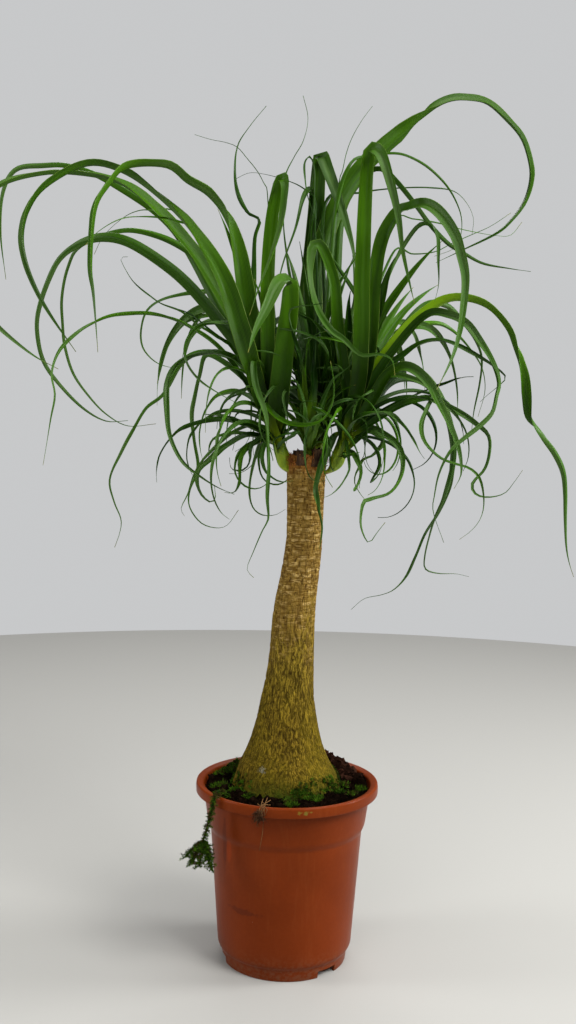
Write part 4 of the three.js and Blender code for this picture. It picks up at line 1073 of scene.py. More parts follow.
def peat_material():
    tree = Finish("peat", 0.95, 0.0)
    tone = tree.tone(60.0, 500.0, 0.5)
    shade = tree.read("shade")
    dry = tree.times(tree.ranged(tree.height(), 0.19, 0.215, 0.35, 1.0), shade)
    heap = tree.mark((0.066, 0.048, 0.21), (0.045, 0.05, 0.05), 0.5, 60.0)
    crust = tree.blended(shade, (8, 4, 3), (64, 40, 30))
    # Near-black peat: its own dark colour, darkened further as painted shade for the little light that
    # reaches down into the pot
    dark = tree.blended(dry, (4, 2, 1), (30, 20, 13))
    colour = tree.coated(dark, (heap, crust), (tone["Value"], (9, 6, 4), 0.6))
    return tree.set(Base_Color=colour, Normal=tree.relief(900.0, 0.0005, 0.8))


def moss_material(name="moss", brown_from=0.45, brown=(52, 40, 16)):
    tree = Finish(name, 0.8, 0.04)
    green = tree.blended(tree.read("shade"), (12, 30, 5), (66, 98, 16))
    share = tree.ranged(tree.tone(75.0, 300.0, 0.4)["Value"], brown_from, brown_from + 0.4)
    return tree.set(Base_Color=tree.coated(green, (share, brown, 0.85)))


# Leaves. A stem row is x, y, z of its middle and its radius, in centimetres.

EYE = np.array(CAMERA_PLACE)
STEMS = {
    "left": [
        (0.5, -0.1, 56.3, 0.5), (-0.9, -0.4, 57.3, 0.75), (-1.2, -0.5, 58.6, 0.95),
        (-1.7, -0.6, 60.3, 0.8), (-2.2, -0.6, 63, 0.5),
    ],
    "right": [
        (2.6, -0.1, 56.3, 0.5), (4.5, -0.4, 57.2, 0.75), (5.1, -0.5, 58.5, 0.95),
        (5.6, -0.5, 60.3, 0.8), (6.1, -0.5, 63, 0.5),
    ],
    "young": [
        (1.6, -0.6, 57, 0.35), (1.65, -0.7, 58.6, 0.5), (1.7, -0.8, 60.2, 0.45), (1.8, -0.8, 61.8, 0.3),
    ],
    "back": [
        (2.2, 0.8, 56.6, 0.45), (2.5, 1.2, 57.9, 0.6), (2.8, 1.5, 59.4, 0.75),
        (3.2, 1.8, 61.2, 0.65), (3.7, 2, 63.5, 0.4),
    ],
}

# Drawn leaves, in centimetres: [shoot, width, depths, turns, outline]. The outline gives x and height
# from the root to the tip as the eye sees them on the upright plane through the trunk. The depths
# (minus is nearer the eye) and the turns of the blade in degrees are spread evenly along the leaf.
DRAWN = [
    ["left", 2.2, [-7, -13, -17, -19, -21], [0, 0, 0, 30, 58, 60, 50, 40], [
      -4, 65.4, -5.6, 70.5, -8.3, 78.2, -12, 84, -16, 87.9, -20, 90.4, -24, 91, -28.5, 88.6,
      -30.5, 86, -31.2, 83, -30.7, 80, -29.3, 76.5, -27.5, 73.5, -25, 70]],
    ["left", 2.1, [-5, -13, -19, -24.6], [0, 0, 10, 45, 62, 60, 60, 50], [
      -3.7, 67.3, -5, 72.5, -6.5, 80.5, -8, 85.2, -10, 87.8, -12.5, 89.3, -15, 91, -19.5, 90.8,
      -21.5, 88.8, -23, 86, -23.4, 80, -23, 76.5, -22.5, 70]],
    ["left", 2.1, [-3, -8, -11, -10], [10, 20, 40, 0], [
      -10, 79, -13.5, 83.5, -17, 87, -20.5, 89.2, -25, 90, -29, 89.9, -33.5, 88.6, -36, 86, -37, 82,
      -36.8, 77.5, -35.5, 74.5, -33.6, 72.4, -30, 69.6, -27, 68]],
    ["left", 1.3, [1, 1, 2, 3], [15, 30, 10], [
      -8, 74, -14, 84, -20.9, 89, -25.5, 90.8, -29, 90.8, -32, 90.2, -33.4, 87.5, -33.6, 83,
      -33, 78]],
    ["left", 0.9, [6, 12, 15, 13], [0, 30, 0], [
      -8.5, 78, -12, 81.3, -16, 83.3, -20, 83.8, -24.5, 82, -26, 79.5, -26.7, 76, -26.6, 73,
      -26.3, 70.5, -25.3, 67.5, -23.5, 65, -21.5, 63, -19, 61.7, -15.8, 62]],
    ["left", 1.4, [2, 8, 10, 6], [10, 30, -10], [
      -5, 69, -8.5, 73.5, -12, 77.5, -15, 80, -19, 82.4, -22, 83, -24.7, 82.3, -27, 80.5, -28.5, 77.5,
      -29.5, 74, -29.4, 71, -28.5, 68.3, -26.5, 65.8, -24, 63.5, -21.5, 62.2, -19, 62.3]],
    ["left", 0.5, [-8, -16, -18], [0], [
      -11, 83, -13.5, 84.8, -17, 85.3, -20, 85, -22.5, 83.6, -24, 82]],
    ["left", 0.35, [4, 8, 10], [0], [
      -12.8, 85, -16.5, 86, -18.5, 85.8, -20.2, 84.8, -22, 83, -23, 81]],
    ["left", 0.7, [-4, -12, -16, -17], [0, 40, 0], [
      -5, 66, -8.5, 70.5, -12, 73, -15, 74.2, -18.5, 74.4, -22, 73.8, -25, 72, -27, 70, -27.8, 67.5,
      -27.4, 65, -27.8, 62.5, -28.2, 60, -28.7, 57]],
    ["left", 1, [-5, -9, -10, -8], [0, 30, 10], [
      -5, 68, -8, 70, -11, 70, -13.5, 68.8, -14.5, 66.5, -14.6, 63.5, -14.2, 60.5, -12.7, 57.7,
      -10.5, 56, -8.5, 54.8, -6.7, 54.1]],
    ["left", 0.8, [3, 8, 12, 13], [0, 30, 0], [
      -4, 66, -7, 69.5, -10.5, 70.2, -13, 69, -15, 65.5, -17, 63.8, -18.6, 61, -19.8, 58.5, -21, 55.5,
      -20.5, 53, -19.7, 51, -19.8, 49.5, -20.4, 47.7]],
    ["left", 0.8, [-6, -10, -10], [0, 30], [
      -6, 72.8, -9, 73.5, -11.3, 73, -12.6, 71, -12.3, 69, -10.8, 67, -8.5, 65.5, -6.5, 64.5]],
    ["left", 0.9, [-3, -5], [30, 20], [-4, 61.4, -6, 62.3, -8, 63, -10.4, 63.2]],
    ["left", 0.9, [-3, -4, -4, -3], [30, 10, 0], [
      -5, 60.9, -7.5, 59.7, -9.5, 58.2, -11, 56.6, -10.6, 54.3, -9.5, 53.2, -8.9, 53.6, -9, 55]],
    ["left", 0.5, [2, 4, 5], [0], [-5, 62, -8, 60.4, -11, 57, -12, 54.1, -12.8, 52.4, -12.4, 51.5]],
    ["left", 0.7, [4, 6, 5, 3], [0, 40, 0], [
      -6, 67.5, -10, 70, -11, 67.5, -11.5, 65, -11.7, 63, -11.3, 60, -10.9, 57, -11.9, 54.5,
      -11.8, 52.5, -10.6, 50.8, -9, 50.2, -7.5, 50.5, -6.2, 52.3]],
    ["left", 0.8, [-3, -5, -5, -4], [0, 20, 0], [
      -3.2, 66, -4.1, 69, -4.7, 69.2, -4.4, 66.5, -3.3, 63, -2.9, 58, -2.9, 54, -2.7, 51.5, -3.4, 50,
      -4.4, 47.5, -5.1, 45.5, -4.3, 44.5]],
    ["left", 0.4, [1, 3, 4.5, 4.5], [0], [
      -3.5, 60.6, -4.6, 57.5, -5, 55, -4.6, 52.8, -3.5, 51.8, -2, 51.8, -0.8, 52.5]],
    ["left", 0.6, [-2, -3.6, -3.6], [0], [-3.6, 59, -3.2, 57, -2, 55.9, -1, 55.6, 0, 55.8]],
    ["left", 1.6, [-3, -6, -9, -12], [0, 0, 0, 0, 10, 45, 50, 40], [
      -2.8, 66, -3.2, 72, -3.3, 79, -3, 85, -2.3, 89, -1.7, 89.9, -1.4, 88.5, -1.8, 85, -3, 81,
      -4.3, 77.5, -5.3, 74.5]],
    ["left", 0.9, [1, 3, 5], [0], [
      -4.8, 70, -5, 78, -4.9, 83, -4.4, 85.2, -5.8, 86, -6.8, 88, -7.2, 91, -6.9, 93.5, -5.5, 95.7,
      -3.8, 97.8]],
    ["left", 0.6, [-2.5, -5, -5.5, -5], [0], [
      -3.5, 64.5, -2.2, 63.2, -0.5, 62.4, 1.5, 62.2, 3, 62.6, 4, 63.8, 4.5, 65.5, 4.4, 67.5,
      4, 69.5]],
    ["left", 0.3, [3, 6, 8], [0], [
      -3, 80, -3.5, 88, -3.9, 89.2, -4.7, 90.6, -5.9, 92, -7, 93.2, -8.3, 93.7, -10, 94,
      -11.8, 94.5]],
    ["left", 0.6, [4, 8], [0], [-6, 70, -8, 71.5, -10, 73, -12, 74.5, -15, 75.5]],
    ["left", 0.8, [5, 10, 13, 14], [0, 30], [
      -5, 70, -8.5, 76.8, -10.5, 77, -13, 76.8, -15.5, 76, -17, 74.8, -17.6, 73, -17.6, 71.3, -17, 70,
      -15.5, 68.8, -13, 68.2]],
    ["left", 0.5, [-6, -12, -14], [0], [
      -7, 70.5, -9, 72, -11, 73.2, -13, 74.7, -15.3, 75.6, -17, 76.7, -18.5, 78, -19.4, 79.3,
      -20, 80.6, -19.2, 80.8]],
    ["left", 2.3, [-2, -4, -7, -10], [0], [
      -1.7, 66, -1.2, 71.3, -0.8, 75.2, -0.9, 78.3, -2, 78.2, -3.3, 75.5, -4.6, 72.8, -5.4, 70.3]],
    ["right", 1.8, [-2, -5, -9, -14], [0, 0, 0, 0, 0, 40, 50, 45], [
      7.1, 66.2, 7.4, 71, 7.4, 80.4, 7.6, 90, 8, 93.2, 9, 93, 9.8, 91.5, 10.8, 88.5, 11.5, 85.5,
      12, 82, 12.8, 78.5, 13.4, 76.2]],
    ["right", 1.6, [-5, -12, -18, -25], [0, 25, 0], [
      7.6, 66.5, 8.4, 71.5, 8.8, 79.1, 9.5, 83.3, 11.2, 86.2, 12.5, 86.9, 14.2, 87.3, 16, 86.3,
      17.8, 84, 18.7, 81.5, 19.2, 79, 19, 76, 18.6, 73, 17.8, 70, 16.2, 66.5]],
    ["right", 1.1, [-3, -8, -12], [0], [
      9, 74, 10.5, 79.5, 12, 82.5, 13.7, 84.8, 15, 84.9, 15.8, 83.5, 16, 81, 16.1, 78.5, 15.7, 76.5]],
    ["right", 0.35, [4, 8, 10], [0], [
      9, 80, 11, 85.6, 13, 85.6, 16, 85.2, 18, 84.7, 20, 84.3, 22, 84, 24, 84, 25.3, 85.5]],
    ["right", 0.4, [6, 12, 14], [0], [
      8.6, 76, 11, 82, 13, 81.7, 15.5, 82, 17.5, 83, 19.7, 84, 21.8, 85, 24, 86.5]],
    ["right", 1.5, [-3, -4, 2, 8, 9], [0, 0, 0, 0, 20, 42, 70, 150, 215, 300, 345, 360, 370, 380], [
      9.5, 69, 12, 72.5, 14.5, 75, 17, 76.6, 19.5, 76.7, 22, 75.8, 24, 73.7, 25, 71.5, 26, 68.5,
      26.5, 66, 27, 63.4, 28.5, 61.5, 30, 59.5, 31, 57.3, 31.3, 55, 31.4, 52, 31.6, 49, 32, 47,
      32.6, 45.3]],
    ["right", 1, [-6, -12, -14, -13], [0, 30, 0], [
      12, 72, 15, 75, 17.5, 75, 19.5, 74, 21, 72, 22.5, 69.5, 23.2, 67.5, 23, 66, 22.5, 64, 21, 62.3,
      19.5, 61, 18, 59.5, 16.8, 57, 16.3, 54.5, 16.2, 52.5, 17.5, 49]],
    ["right", 0.9, [3, 8, 12], [0, 30], [
      14, 75.5, 17, 76, 19, 74, 20.5, 72, 21.2, 70, 21, 67, 20.5, 64, 20.3, 61.5]],
    ["right", 0.8, [6, 12, 17], [0, 30], [
      10, 71, 13, 73.5, 16, 74, 18, 73, 20, 71, 21.3, 69, 21.7, 66.5, 21, 63.5]],
    ["right", 0.9, [-2, -5, -5], [30, 0], [
      9, 67.5, 12.5, 70.5, 14.5, 71.8, 16.5, 72.1, 18.5, 71.5, 20.5, 70.6, 22.3, 69.6, 24, 68.2,
      23.5, 67.3, 22, 66, 21.2, 65.2]],
    ["right", 1.3, [-6, -12, -15], [0, 30], [
      7, 62, 9, 65.5, 10.5, 68, 12.3, 69, 14, 68.5, 15.5, 67, 16.5, 65, 18, 62, 19, 59.5, 19.3, 57,
      18.5, 55.2]],
    ["right", 1, [4, 10, 13, 12], [0, 30, 0], [
      8, 62, 10.5, 66.5, 13, 67.5, 15.5, 66.5, 17.5, 63.5, 18.3, 60, 18.1, 57, 17.8, 55, 16.8, 52.5,
      15.3, 50, 14.3, 47.5, 13.3, 45, 12, 43.5, 10.5, 42.8, 8.5, 42.3, 7, 41]],
    ["right", 0.8, [8, 17, 20], [0], [
      9, 65, 13, 68.8, 16.5, 66, 18.3, 60, 17.5, 54.5, 16.5, 52, 15.9, 50, 15.4, 47.5, 15.5, 45.9,
      17, 45.4, 19, 45.4, 20.5, 45.1]],
    ["right", 0.7, [-8, -10, -9], [0, 30], [
      11, 68, 15.8, 66.5, 15.3, 64.5, 14.6, 62.6, 14.7, 61, 15.5, 59.8, 17, 58.6, 18.7, 58,
      20.3, 57.5, 21.5, 56.3, 22, 54, 21.7, 52, 20.7, 50.5, 19.3, 49.4]],
    ["right", 0.8, [-2, -4, -5, -6], [20, 0], [
      6.5, 61, 9, 62.7, 12, 64.6, 15, 65.5, 16.5, 65, 18.8, 64, 20.8, 62.8, 22.3, 61.5, 22.5, 59.5,
      22, 57.5, 20.6, 55.8, 21, 54.6, 22.5, 54.3, 24.3, 54.8, 25.3, 56, 26.3, 57.5]],
    ["right", 0.8, [-2, -6], [0], [
      7, 62.9, 8.6, 63.6, 10.5, 63.7, 12, 63, 13.3, 61.5, 14.3, 59.6, 15, 58.6]],
    ["right", 0.8, [-3, -6, -8, -8], [20, 30, 0], [
      8.5, 61.8, 10.3, 61.3, 12, 60, 12.7, 58, 12.2, 56, 11, 54.5, 9, 53.8, 8.1, 53.4, 7.8, 51.5,
      8.1, 50, 8.9, 48.8, 9.8, 50, 10.7, 51.2]],
    ["right", 0.7, [1, 3, 3], [20], [
      7, 61.3, 8.5, 61.5, 9.6, 61, 10.2, 60.3, 9.3, 59, 8, 58.3, 7.2, 56.8, 7.1, 55.6, 7.7, 54.5,
      8.3, 53.8]],
    ["right", 0.9, [-2.5, -3.6, -4, -3.8], [0], [
      4.7, 61, 4.2, 60, 3.4, 58, 2.9, 56, 2.7, 54.5, 3, 52.5, 3.4, 51, 3.4, 49.5, 3.2, 48]],
    ["right", 0.4, [-1.5, -2.6, -3], [0], [6.4, 57.6, 6, 56.3, 5.2, 55, 4.3, 54.2, 3.4, 53.9]],
    ["right", 0.9, [-1], [40], [6, 58.8, 7.6, 59.2]],
    ["back", 2.4, [3, 2, -2, -8], [0, 0, 0, 0, 0, 20, 10, 0], [
      2, 66, 1.2, 74, 1.6, 80, 2, 86, 2.2, 91, 2.5, 92.4, 3.2, 91, 4.2, 88.5, 5.3, 85.5, 6.2, 82.5,
      6.7, 79.5]],
    ["back", 0.5, [4, 3, -2, -5], [0], [
      1.5, 76, 1.8, 88, 1.7, 91.2, 1.1, 92.3, 0.6, 91.2, 0.9, 88.5, 1.7, 86, 2.6, 84, 3.3, 82]],
    ["right", 1.3, [-2, -3, -7, -12], [0], [
      6, 64.9, 5.5, 68.8, 4.7, 74, 4.2, 78.4, 2.8, 82.2, 1.7, 82.4, 1.3, 80, 1.6, 77.5, 2.5, 75,
      4, 73, 5.5, 72, 7.5, 70.3, 9.5, 70.4, 11, 69.8, 11.4, 68]],
    ["back", 1.1, [5, 4, -2, -6], [0], [
      1.4, 76, 1.7, 86, 1.4, 88.5, 0.7, 88, -0.2, 84.5, -1.7, 80, -2.2, 77]],
    ["back", 2.4, [4, 6, 8, 9, 8], [0, 0, 0, 0, 0, 0, 0, 0, 98, 100, 106, 125, 136, 150, 150], [
      3.2, 66.5, 2.2, 72, 1.9, 78, 3.3, 84, 5, 88, 7, 91, 9.5, 93.5, 12, 95.6, 15, 98, 17, 98.9,
      19, 99, 21, 98.6, 23, 97, 25, 94.8, 26, 92, 26.1, 90, 25.5, 87.8, 24.3, 86, 22.5, 84.3,
      18.5, 82.2, 15.7, 80.8]],
    ["back", 1.4, [4, 2, 0, -2], [0, 30], [
      5, 67.5, 4.8, 73, 4.5, 80, 5, 86.5, 7.5, 90.2, 9.2, 91, 10.8, 89.8, 13, 87.3, 15, 84.8,
      17, 82.9, 18.8, 81.9, 21, 80.8, 24, 80.3, 26.5, 80]],
    ["back", 0.7, [8, 12, 14, 14], [0], [
      4.2, 86, 5.8, 91.5, 8, 92.5, 10.9, 92.8, 13, 92.2, 15, 91, 17, 89, 18.3, 86.5, 18.5, 84.3,
      17.8, 82.5, 15.5, 81.5]],
    ["back", 0.5, [10, 17, 20], [0], [
      3, 87, 7, 88.4, 11, 89, 15, 89.1, 17.5, 88.8, 19, 87.5, 19.8, 85.8, 19.7, 84]],
    ["back", 0.4, [6, 9], [0], [-1, 80, -1.7, 86, -1.5, 90, -0.6, 92.2, 0.4, 94, 0.9, 96.5, 0.3, 99]],
    ["back", 0.35, [9, 13], [0], [
      2, 84, 2, 87.4, 0.5, 88.8, -1.3, 89.6, -3.5, 90.2, -5.5, 90.4, -7.1, 89.7]],
    ["back", 0.35, [7, 10], [0], [4, 80, 4.5, 89, 4.9, 90.8, 5.3, 92.8, 6, 94.7, 7, 96.5, 8.1, 98]],
    ["young", 1, [-1.4, -1.6], [0, 30], [1.5, 62.2, 1.1, 64.8, 0.4, 66.8, -0.7, 68]],
    ["young", 1.1, [-1, -1.2], [0], [1.9, 63.5, 2.1, 66.1, 2.2, 70.1, 2.4, 73.5]],
    ["young", 0.9, [-1, -2, -3], [0], [2.1, 60.9, 3, 64.2, 3.8, 66.2, 4.5, 67.5, 6.4, 69.1]],
    ["young", 0.8, [-1.6, -2.4], [0, 30], [0.7, 62.9, -0.2, 64.4, -1.2, 65.4]],
    ["young", 0.5, [-3, -6], [0], [1.1, 67, 1.2, 70, 1.4, 71.5, 2.4, 72.5, 3.5, 72.9]],
    ["young", 1, [-3, -8, -9], [0, 30], [
      0.3, 68, -1.2, 72, -3.2, 73, -2.7, 71.2, -1.5, 69.5, 0, 68, 1.5, 67.2, 3.2, 67.1, 4.4, 67.3]],
    ["young", 0.6, [-4, -7], [0], [0.5, 70, -0.8, 74.6, 0.4, 75.6, 2, 75.8, 4, 76.3]],
]

# Grown leaves, by rule: [shoot, count, seed, compass range, rise range, length range, width range,
# droop range]. The compass is 0 to the right and 90 to the back, in degrees; lengths in centimetres.
GROWN = [
    ["left", 3, 11, [120, 240], [76, 86], [18, 26], [1.1, 1.6], [20, 50]],
    ["left", 5, 12, [110, 260], [35, 60], [15, 23], [0.5, 0.8], [120, 210]],
    ["left", 4, 13, [100, 140], [74, 84], [36, 43], [1.1, 1.5], [145, 170]],
    ["right", 3, 21, [-60, 60], [76, 86], [18, 26], [1.1, 1.6], [20, 50]],
    ["right", 5, 22, [-80, 70], [35, 60], [15, 23], [0.5, 0.8], [120, 210]],
    ["right", 4, 23, [40, 75], [74, 84], [36, 43], [1.1, 1.5], [145, 170]],
    ["back", 6, 31, [70, 110], [77, 85], [35, 41], [1.3, 1.8], [150, 172]],
    ["back", 4, 32, [40, 140], [40, 62], [20, 28], [0.7, 1.1], [110, 160]],
    ["back", 4, 33, [60, 300], [78, 87], [16, 26], [1.1, 1.5], [15, 40]],
    ["young", 3, 41, [-170, -10], [62, 84], [9, 15], [0.5, 0.8], [20, 60]],
]

# Thin young leaves that curl among the others, in rows like those above
FINE = [
    ["left", 7, 71, [110, 290], [0, 80], [8, 19], [0.35, 0.8], [40, 320]],
    ["left", 6, 72, [-170, -60], [50, 85], [12, 22], [0.3, 0.6], [90, 260]],
    ["right", 7, 73, [-110, 80], [0, 80], [8, 19], [0.35, 0.8], [40, 320]],
    ["right", 6, 74, [-150, -60], [50, 85], [12, 22], [0.3, 0.6], [90, 260]],
    ["young", 14, 75, [-180, 0], [40, 84], [6, 14], [0.3, 0.6], [20, 220]],
    ["back", 10, 76, [-180, 180], [40, 84], [14, 26], [0.3, 0.6], [60, 240]],
    ["back", 16, 77, [-180, 180], [66, 89], [10, 24], [1.0, 1.7], [10, 90]],
]
FINE_CURL = 3.2
FINE_SWAY = 3.6
FINE_WAVES = 5

PALE_START = [9.5, 69]
ROOT_SHIFT = 0.45
DRAWN_ROOTS = 0.8
GROWN_ROOTS = 0.9
SETTLED = 0.2
FAR_START = 80 * MM
FAR_SHARES = np.array((0.38, 0.42, 0.52))
GROWTH_STEPS = 14
CURL = 0.9
DROOP_POWER = 1.5
GROWN_TURN = 60

TIP_WIDTH = 0.7 * MM
SHEATH_SHARE = 0.45
SHEATH_LENGTH = 0.16
TAPER = 2.3
WIDE_TAPER = 2.4
BROAD_TAPER = 2.8
BROAD_WIDTHS = (1.1, 1.6)
BROAD_LENGTHS = (0.75, 0.4)
LIGHT_WIDTH = 1.49
TWIST_SWING = (45, 100)
TWIST_WAVES = (2.2, 4.2)
TWIST_START = (0.3, 0.62)
BROAD_CALM = 0.8
# Tones of broad leaves, lighter as painted light, and of the back shoot's leaves, darker as painted shade
BROAD_PAINTED_LIGHT_TONES = (0.45, 0.95)
BACK_PAINTED_SHADE_TONES = (0.0, 0.6)
TOLD_TURNS = 6
SKYWARD = 0.6
TRUSTED = (0.15, 0.5)
FINE_STEPS = 160
SEGMENT_LENGTH = 100 * MM
SEGMENT_TURN = 50
BENDS = (0, 9, -9, 18, -18, 28, -28, 40, -40, 54, -54)
LEAF_STEP = 6 * MM
PEAK_SPAN = (-0.05, 0.06)


def placed(x, height, depth):
    """A point of a drawn leaf, in metres, moved to its depth along the line to the eye"""
    flat = np.array((x * CM, 0.0, height * CM))
    return EYE + (flat - EYE) * (depth * CM - EYE[1]) / -EYE[1]


class Leaf:
    """A leaf of a shoot, drawn by its outline or grown by rule"""

    def __init__(self, row, order, grown):
        self.row = row
        self.grown = grown
        self.shoot = row[0]
        self.fixed = row not in FINE
        self.seed = row[2] * 100 + order if grown else order
        self.width = mix(*row[6], self.chance(7)) if grown else row[1]
        self.turns = [0, GROWN_TURN * (self.chance(8) - 0.5)] if grown else row[3]
        self.pale = float(not grown and row[4][:2] == PALE_START)
        widest = row[6][1] if grown else row[1]
        # Broad leaves take lighter tones as painted light; the back shoot's leaves take darker tones as
        # painted shade
        shades = BROAD_PAINTED_LIGHT_TONES if widest > LIGHT_WIDTH else (0, 1)
        self.shade = mix(*(BACK_PAINTED_SHADE_TONES if self.shoot == "back" else shades), draw(51 + grown, self.seed))

    def chance(self, index):
        return draw(self.seed, index)

    def root(self, share, heading):
        """Where it leaves its shoot's stem: off the middle, on the side that it heads for"""
        stem = np.array(STEMS[self.shoot], float)
        x, y, z, radius = mix(stem[-3], stem[-1], share) * CM
        return np.array(round_point(ROOT_SHIFT * radius, heading, z, x, y))

    def line(self, bend):
        """Its middle line; a bend moves all but its root nearer to the eye or farther off"""
        return self.grown_line(bend) if self.grown else self.drawn_line(bend)

    def drawn_line(self, bend):
        depths, outline = self.row[2], self.row[4]
        aim = placed(*outline[:2], depths[0]) - self.root(0, 0)
        root = self.root(self.chance(1) * DRAWN_ROOTS, math.atan2(aim[1], aim[0]))
        count = len(outline) // 2
        points = []
        for i in range(count):
            t = (i + 1) / count
            depth = along([root[1] / CM, *depths], t) + bend * MM / CM * smooth_ramp(0, SETTLED, t)
            points.append(placed(outline[2 * i], outline[2 * i + 1], depth))
        if np.linalg.norm(points[0] - root) > FAR_START:
            points.insert(0, mix(root, points[0], FAR_SHARES))
        return [root, *points]

    def grown_line(self, bend):
        compass, rise, length, _, droop = self.row[3:]
        heading = math.radians(mix(*compass, self.chance(2)))
        lift = math.radians(mix(*rise, self.chance(3)))
        fall = math.radians(mix(*droop, self.chance(4)))
        curl = (self.chance(5) - 0.5) * (CURL if self.fixed else FINE_CURL)
        sway = 0 if self.fixed else (self.chance(9) - 0.5) * FINE_SWAY
        stride = mix(*length, self.chance(6)) * CM / GROWTH_STEPS
        points = [self.root(self.chance(1) * GROWN_ROOTS, heading)]
        for i in range(1, GROWTH_STEPS + 1):
            t = i / GROWTH_STEPS
            tilt = lift - fall * t ** DROOP_POWER
            way = heading + curl * t * t + sway * math.sin(FINE_WAVES * t)
            aside = bend * MM / GROWTH_STEPS * ramp(0, SETTLED, t)
            flat = stride * math.cos(tilt)
            step = (flat * math.cos(way), flat * math.sin(way) + aside, stride * math.sin(tilt))
            points.append(points[-1] + np.array(step))
        return points


def ring_places(points):
    """The steps at which the fixed model's blades have their rings: closer where a leaf turns more"""
    steps = np.diff(points, axis=0)
    lengths = np.linalg.norm(steps, axis=1)
    ways = steps / lengths[:, None]
    cosines = np.clip((ways[1:] * ways[:-1]).sum(axis=1), -1, 1)
    turned = np.concatenate([[0], np.degrees(np.arccos(cosines))])
    effort = np.concatenate([[0], np.cumsum(lengths / SEGMENT_LENGTH + turned / SEGMENT_TURN)])
    count = max(3, round(effort[-1]))
    return [int(np.argmax(effort >= effort[-1] * k / count - 1e-9)) for k in range(count + 1)]


def true_bend(solid, leaf):
    """The bend with which a leaf lies in the fixed model's own blade, and how far off it is"""
    rated = []
    for bend in BENDS:
        points = smooth_curve(leaf.line(bend), FINE_STEPS)
        away = [solid.find_nearest(Vector(points[i]))[3] for i in ring_places(points)[1:]]
        rated.append((float(np.mean(away)), bend))
    return min(rated)[::-1]


def leaf_frame(line):
    """Fine points along a leaf, with the way ahead and the vector across the blade at each"""
    points = smooth_curve(line, FINE_STEPS)
    ways = np.vstack([points[1:2] - points[:1], points[2:] - points[:-2], points[-1:] - points[-2:-1]])
    ways /= np.linalg.norm(ways, axis=1)[:, None]
    nearer = line[-1][1] < line[0][1]
    faced = np.array((0, 1, -SKYWARD if nearer else SKYWARD))
    sides = []
    for way in ways:
        side = np.cross(way, faced)
        size = np.linalg.norm(side)
        side = side / size
        if sides:
            held = sides[-1] - way * (sides[-1] @ way)
            trust = smooth_ramp(*TRUSTED, size)
            side = side if side @ held >= 0 else -side
            side = side * trust + held / np.linalg.norm(held) * (1 - trust)
        sides.append(side / np.linalg.norm(side))
    return points, ways, np.array(sides), nearer


def evenly(wanted, travelled, values):
    """Rows of values at each wanted length along a leaf"""
    return np.column_stack([np.interp(wanted, travelled, column) for column in values.T])


def leaf_path(leaf, bend):
    """The blade's middle line in even steps, with the values that its shape and colour need there"""
    *rows, nearer = leaf_frame(leaf.line(bend))
    travelled = np.concatenate([[0], np.cumsum(np.linalg.norm(np.diff(rows[0], axis=0), axis=1))])
    wanted = np.linspace(0, travelled[-1], max(12, round(travelled[-1] / LEAF_STEP)) + 1)
    middle, way, side = (evenly(wanted, travelled, values) for values in rows)
    t = wanted / travelled[-1]
    wide = float(smooth_ramp(*BROAD_WIDTHS, leaf.width))
    broad = wide * float(smooth_ramp(*BROAD_LENGTHS, travelled[-1]))
    freedom = (1 - BROAD_CALM * wide) * (len(leaf.turns) < TOLD_TURNS)
    swing = mix(*TWIST_SWING, leaf.chance(81)) * smooth_ramp(*TWIST_START, t) * freedom
    waves = np.sin(math.pi * (mix(*TWIST_WAVES, leaf.chance(82)) * t + 2 * leaf.chance(83)))
    turn = np.radians(along(leaf.turns, t) + swing * waves)[:, None]
    side = side * np.cos(turn) + np.cross(way, side) * np.sin(turn)
    up = np.cross(way, side)
    top_sign = 1 if nearer or leaf.grown and (up[len(up) // 4][2] > 0) else -1
    sheath = mix(SHEATH_SHARE, 1, smooth_ramp(0, SHEATH_LENGTH, t))
    taper = mix(mix(TAPER, WIDE_TAPER, wide), BROAD_TAPER, broad)
    width = np.maximum(TIP_WIDTH, leaf.width * CM * sheath * (1 - t ** taper))
    peak = t[int(np.argmax(middle[:, 2]))]
    same = np.ones(len(t))
    return {
        "middle": middle, "side": side * top_sign, "up": up * top_sign, "half": width / 2, "along": t,
        "travelled": wanted, "past": smooth_ramp(*(peak + step for step in PEAK_SPAN), t),
        "faced": same * (1 if leaf.grown else top_sign), "shade": same * leaf.shade,
        "pale": same * leaf.pale,
    }


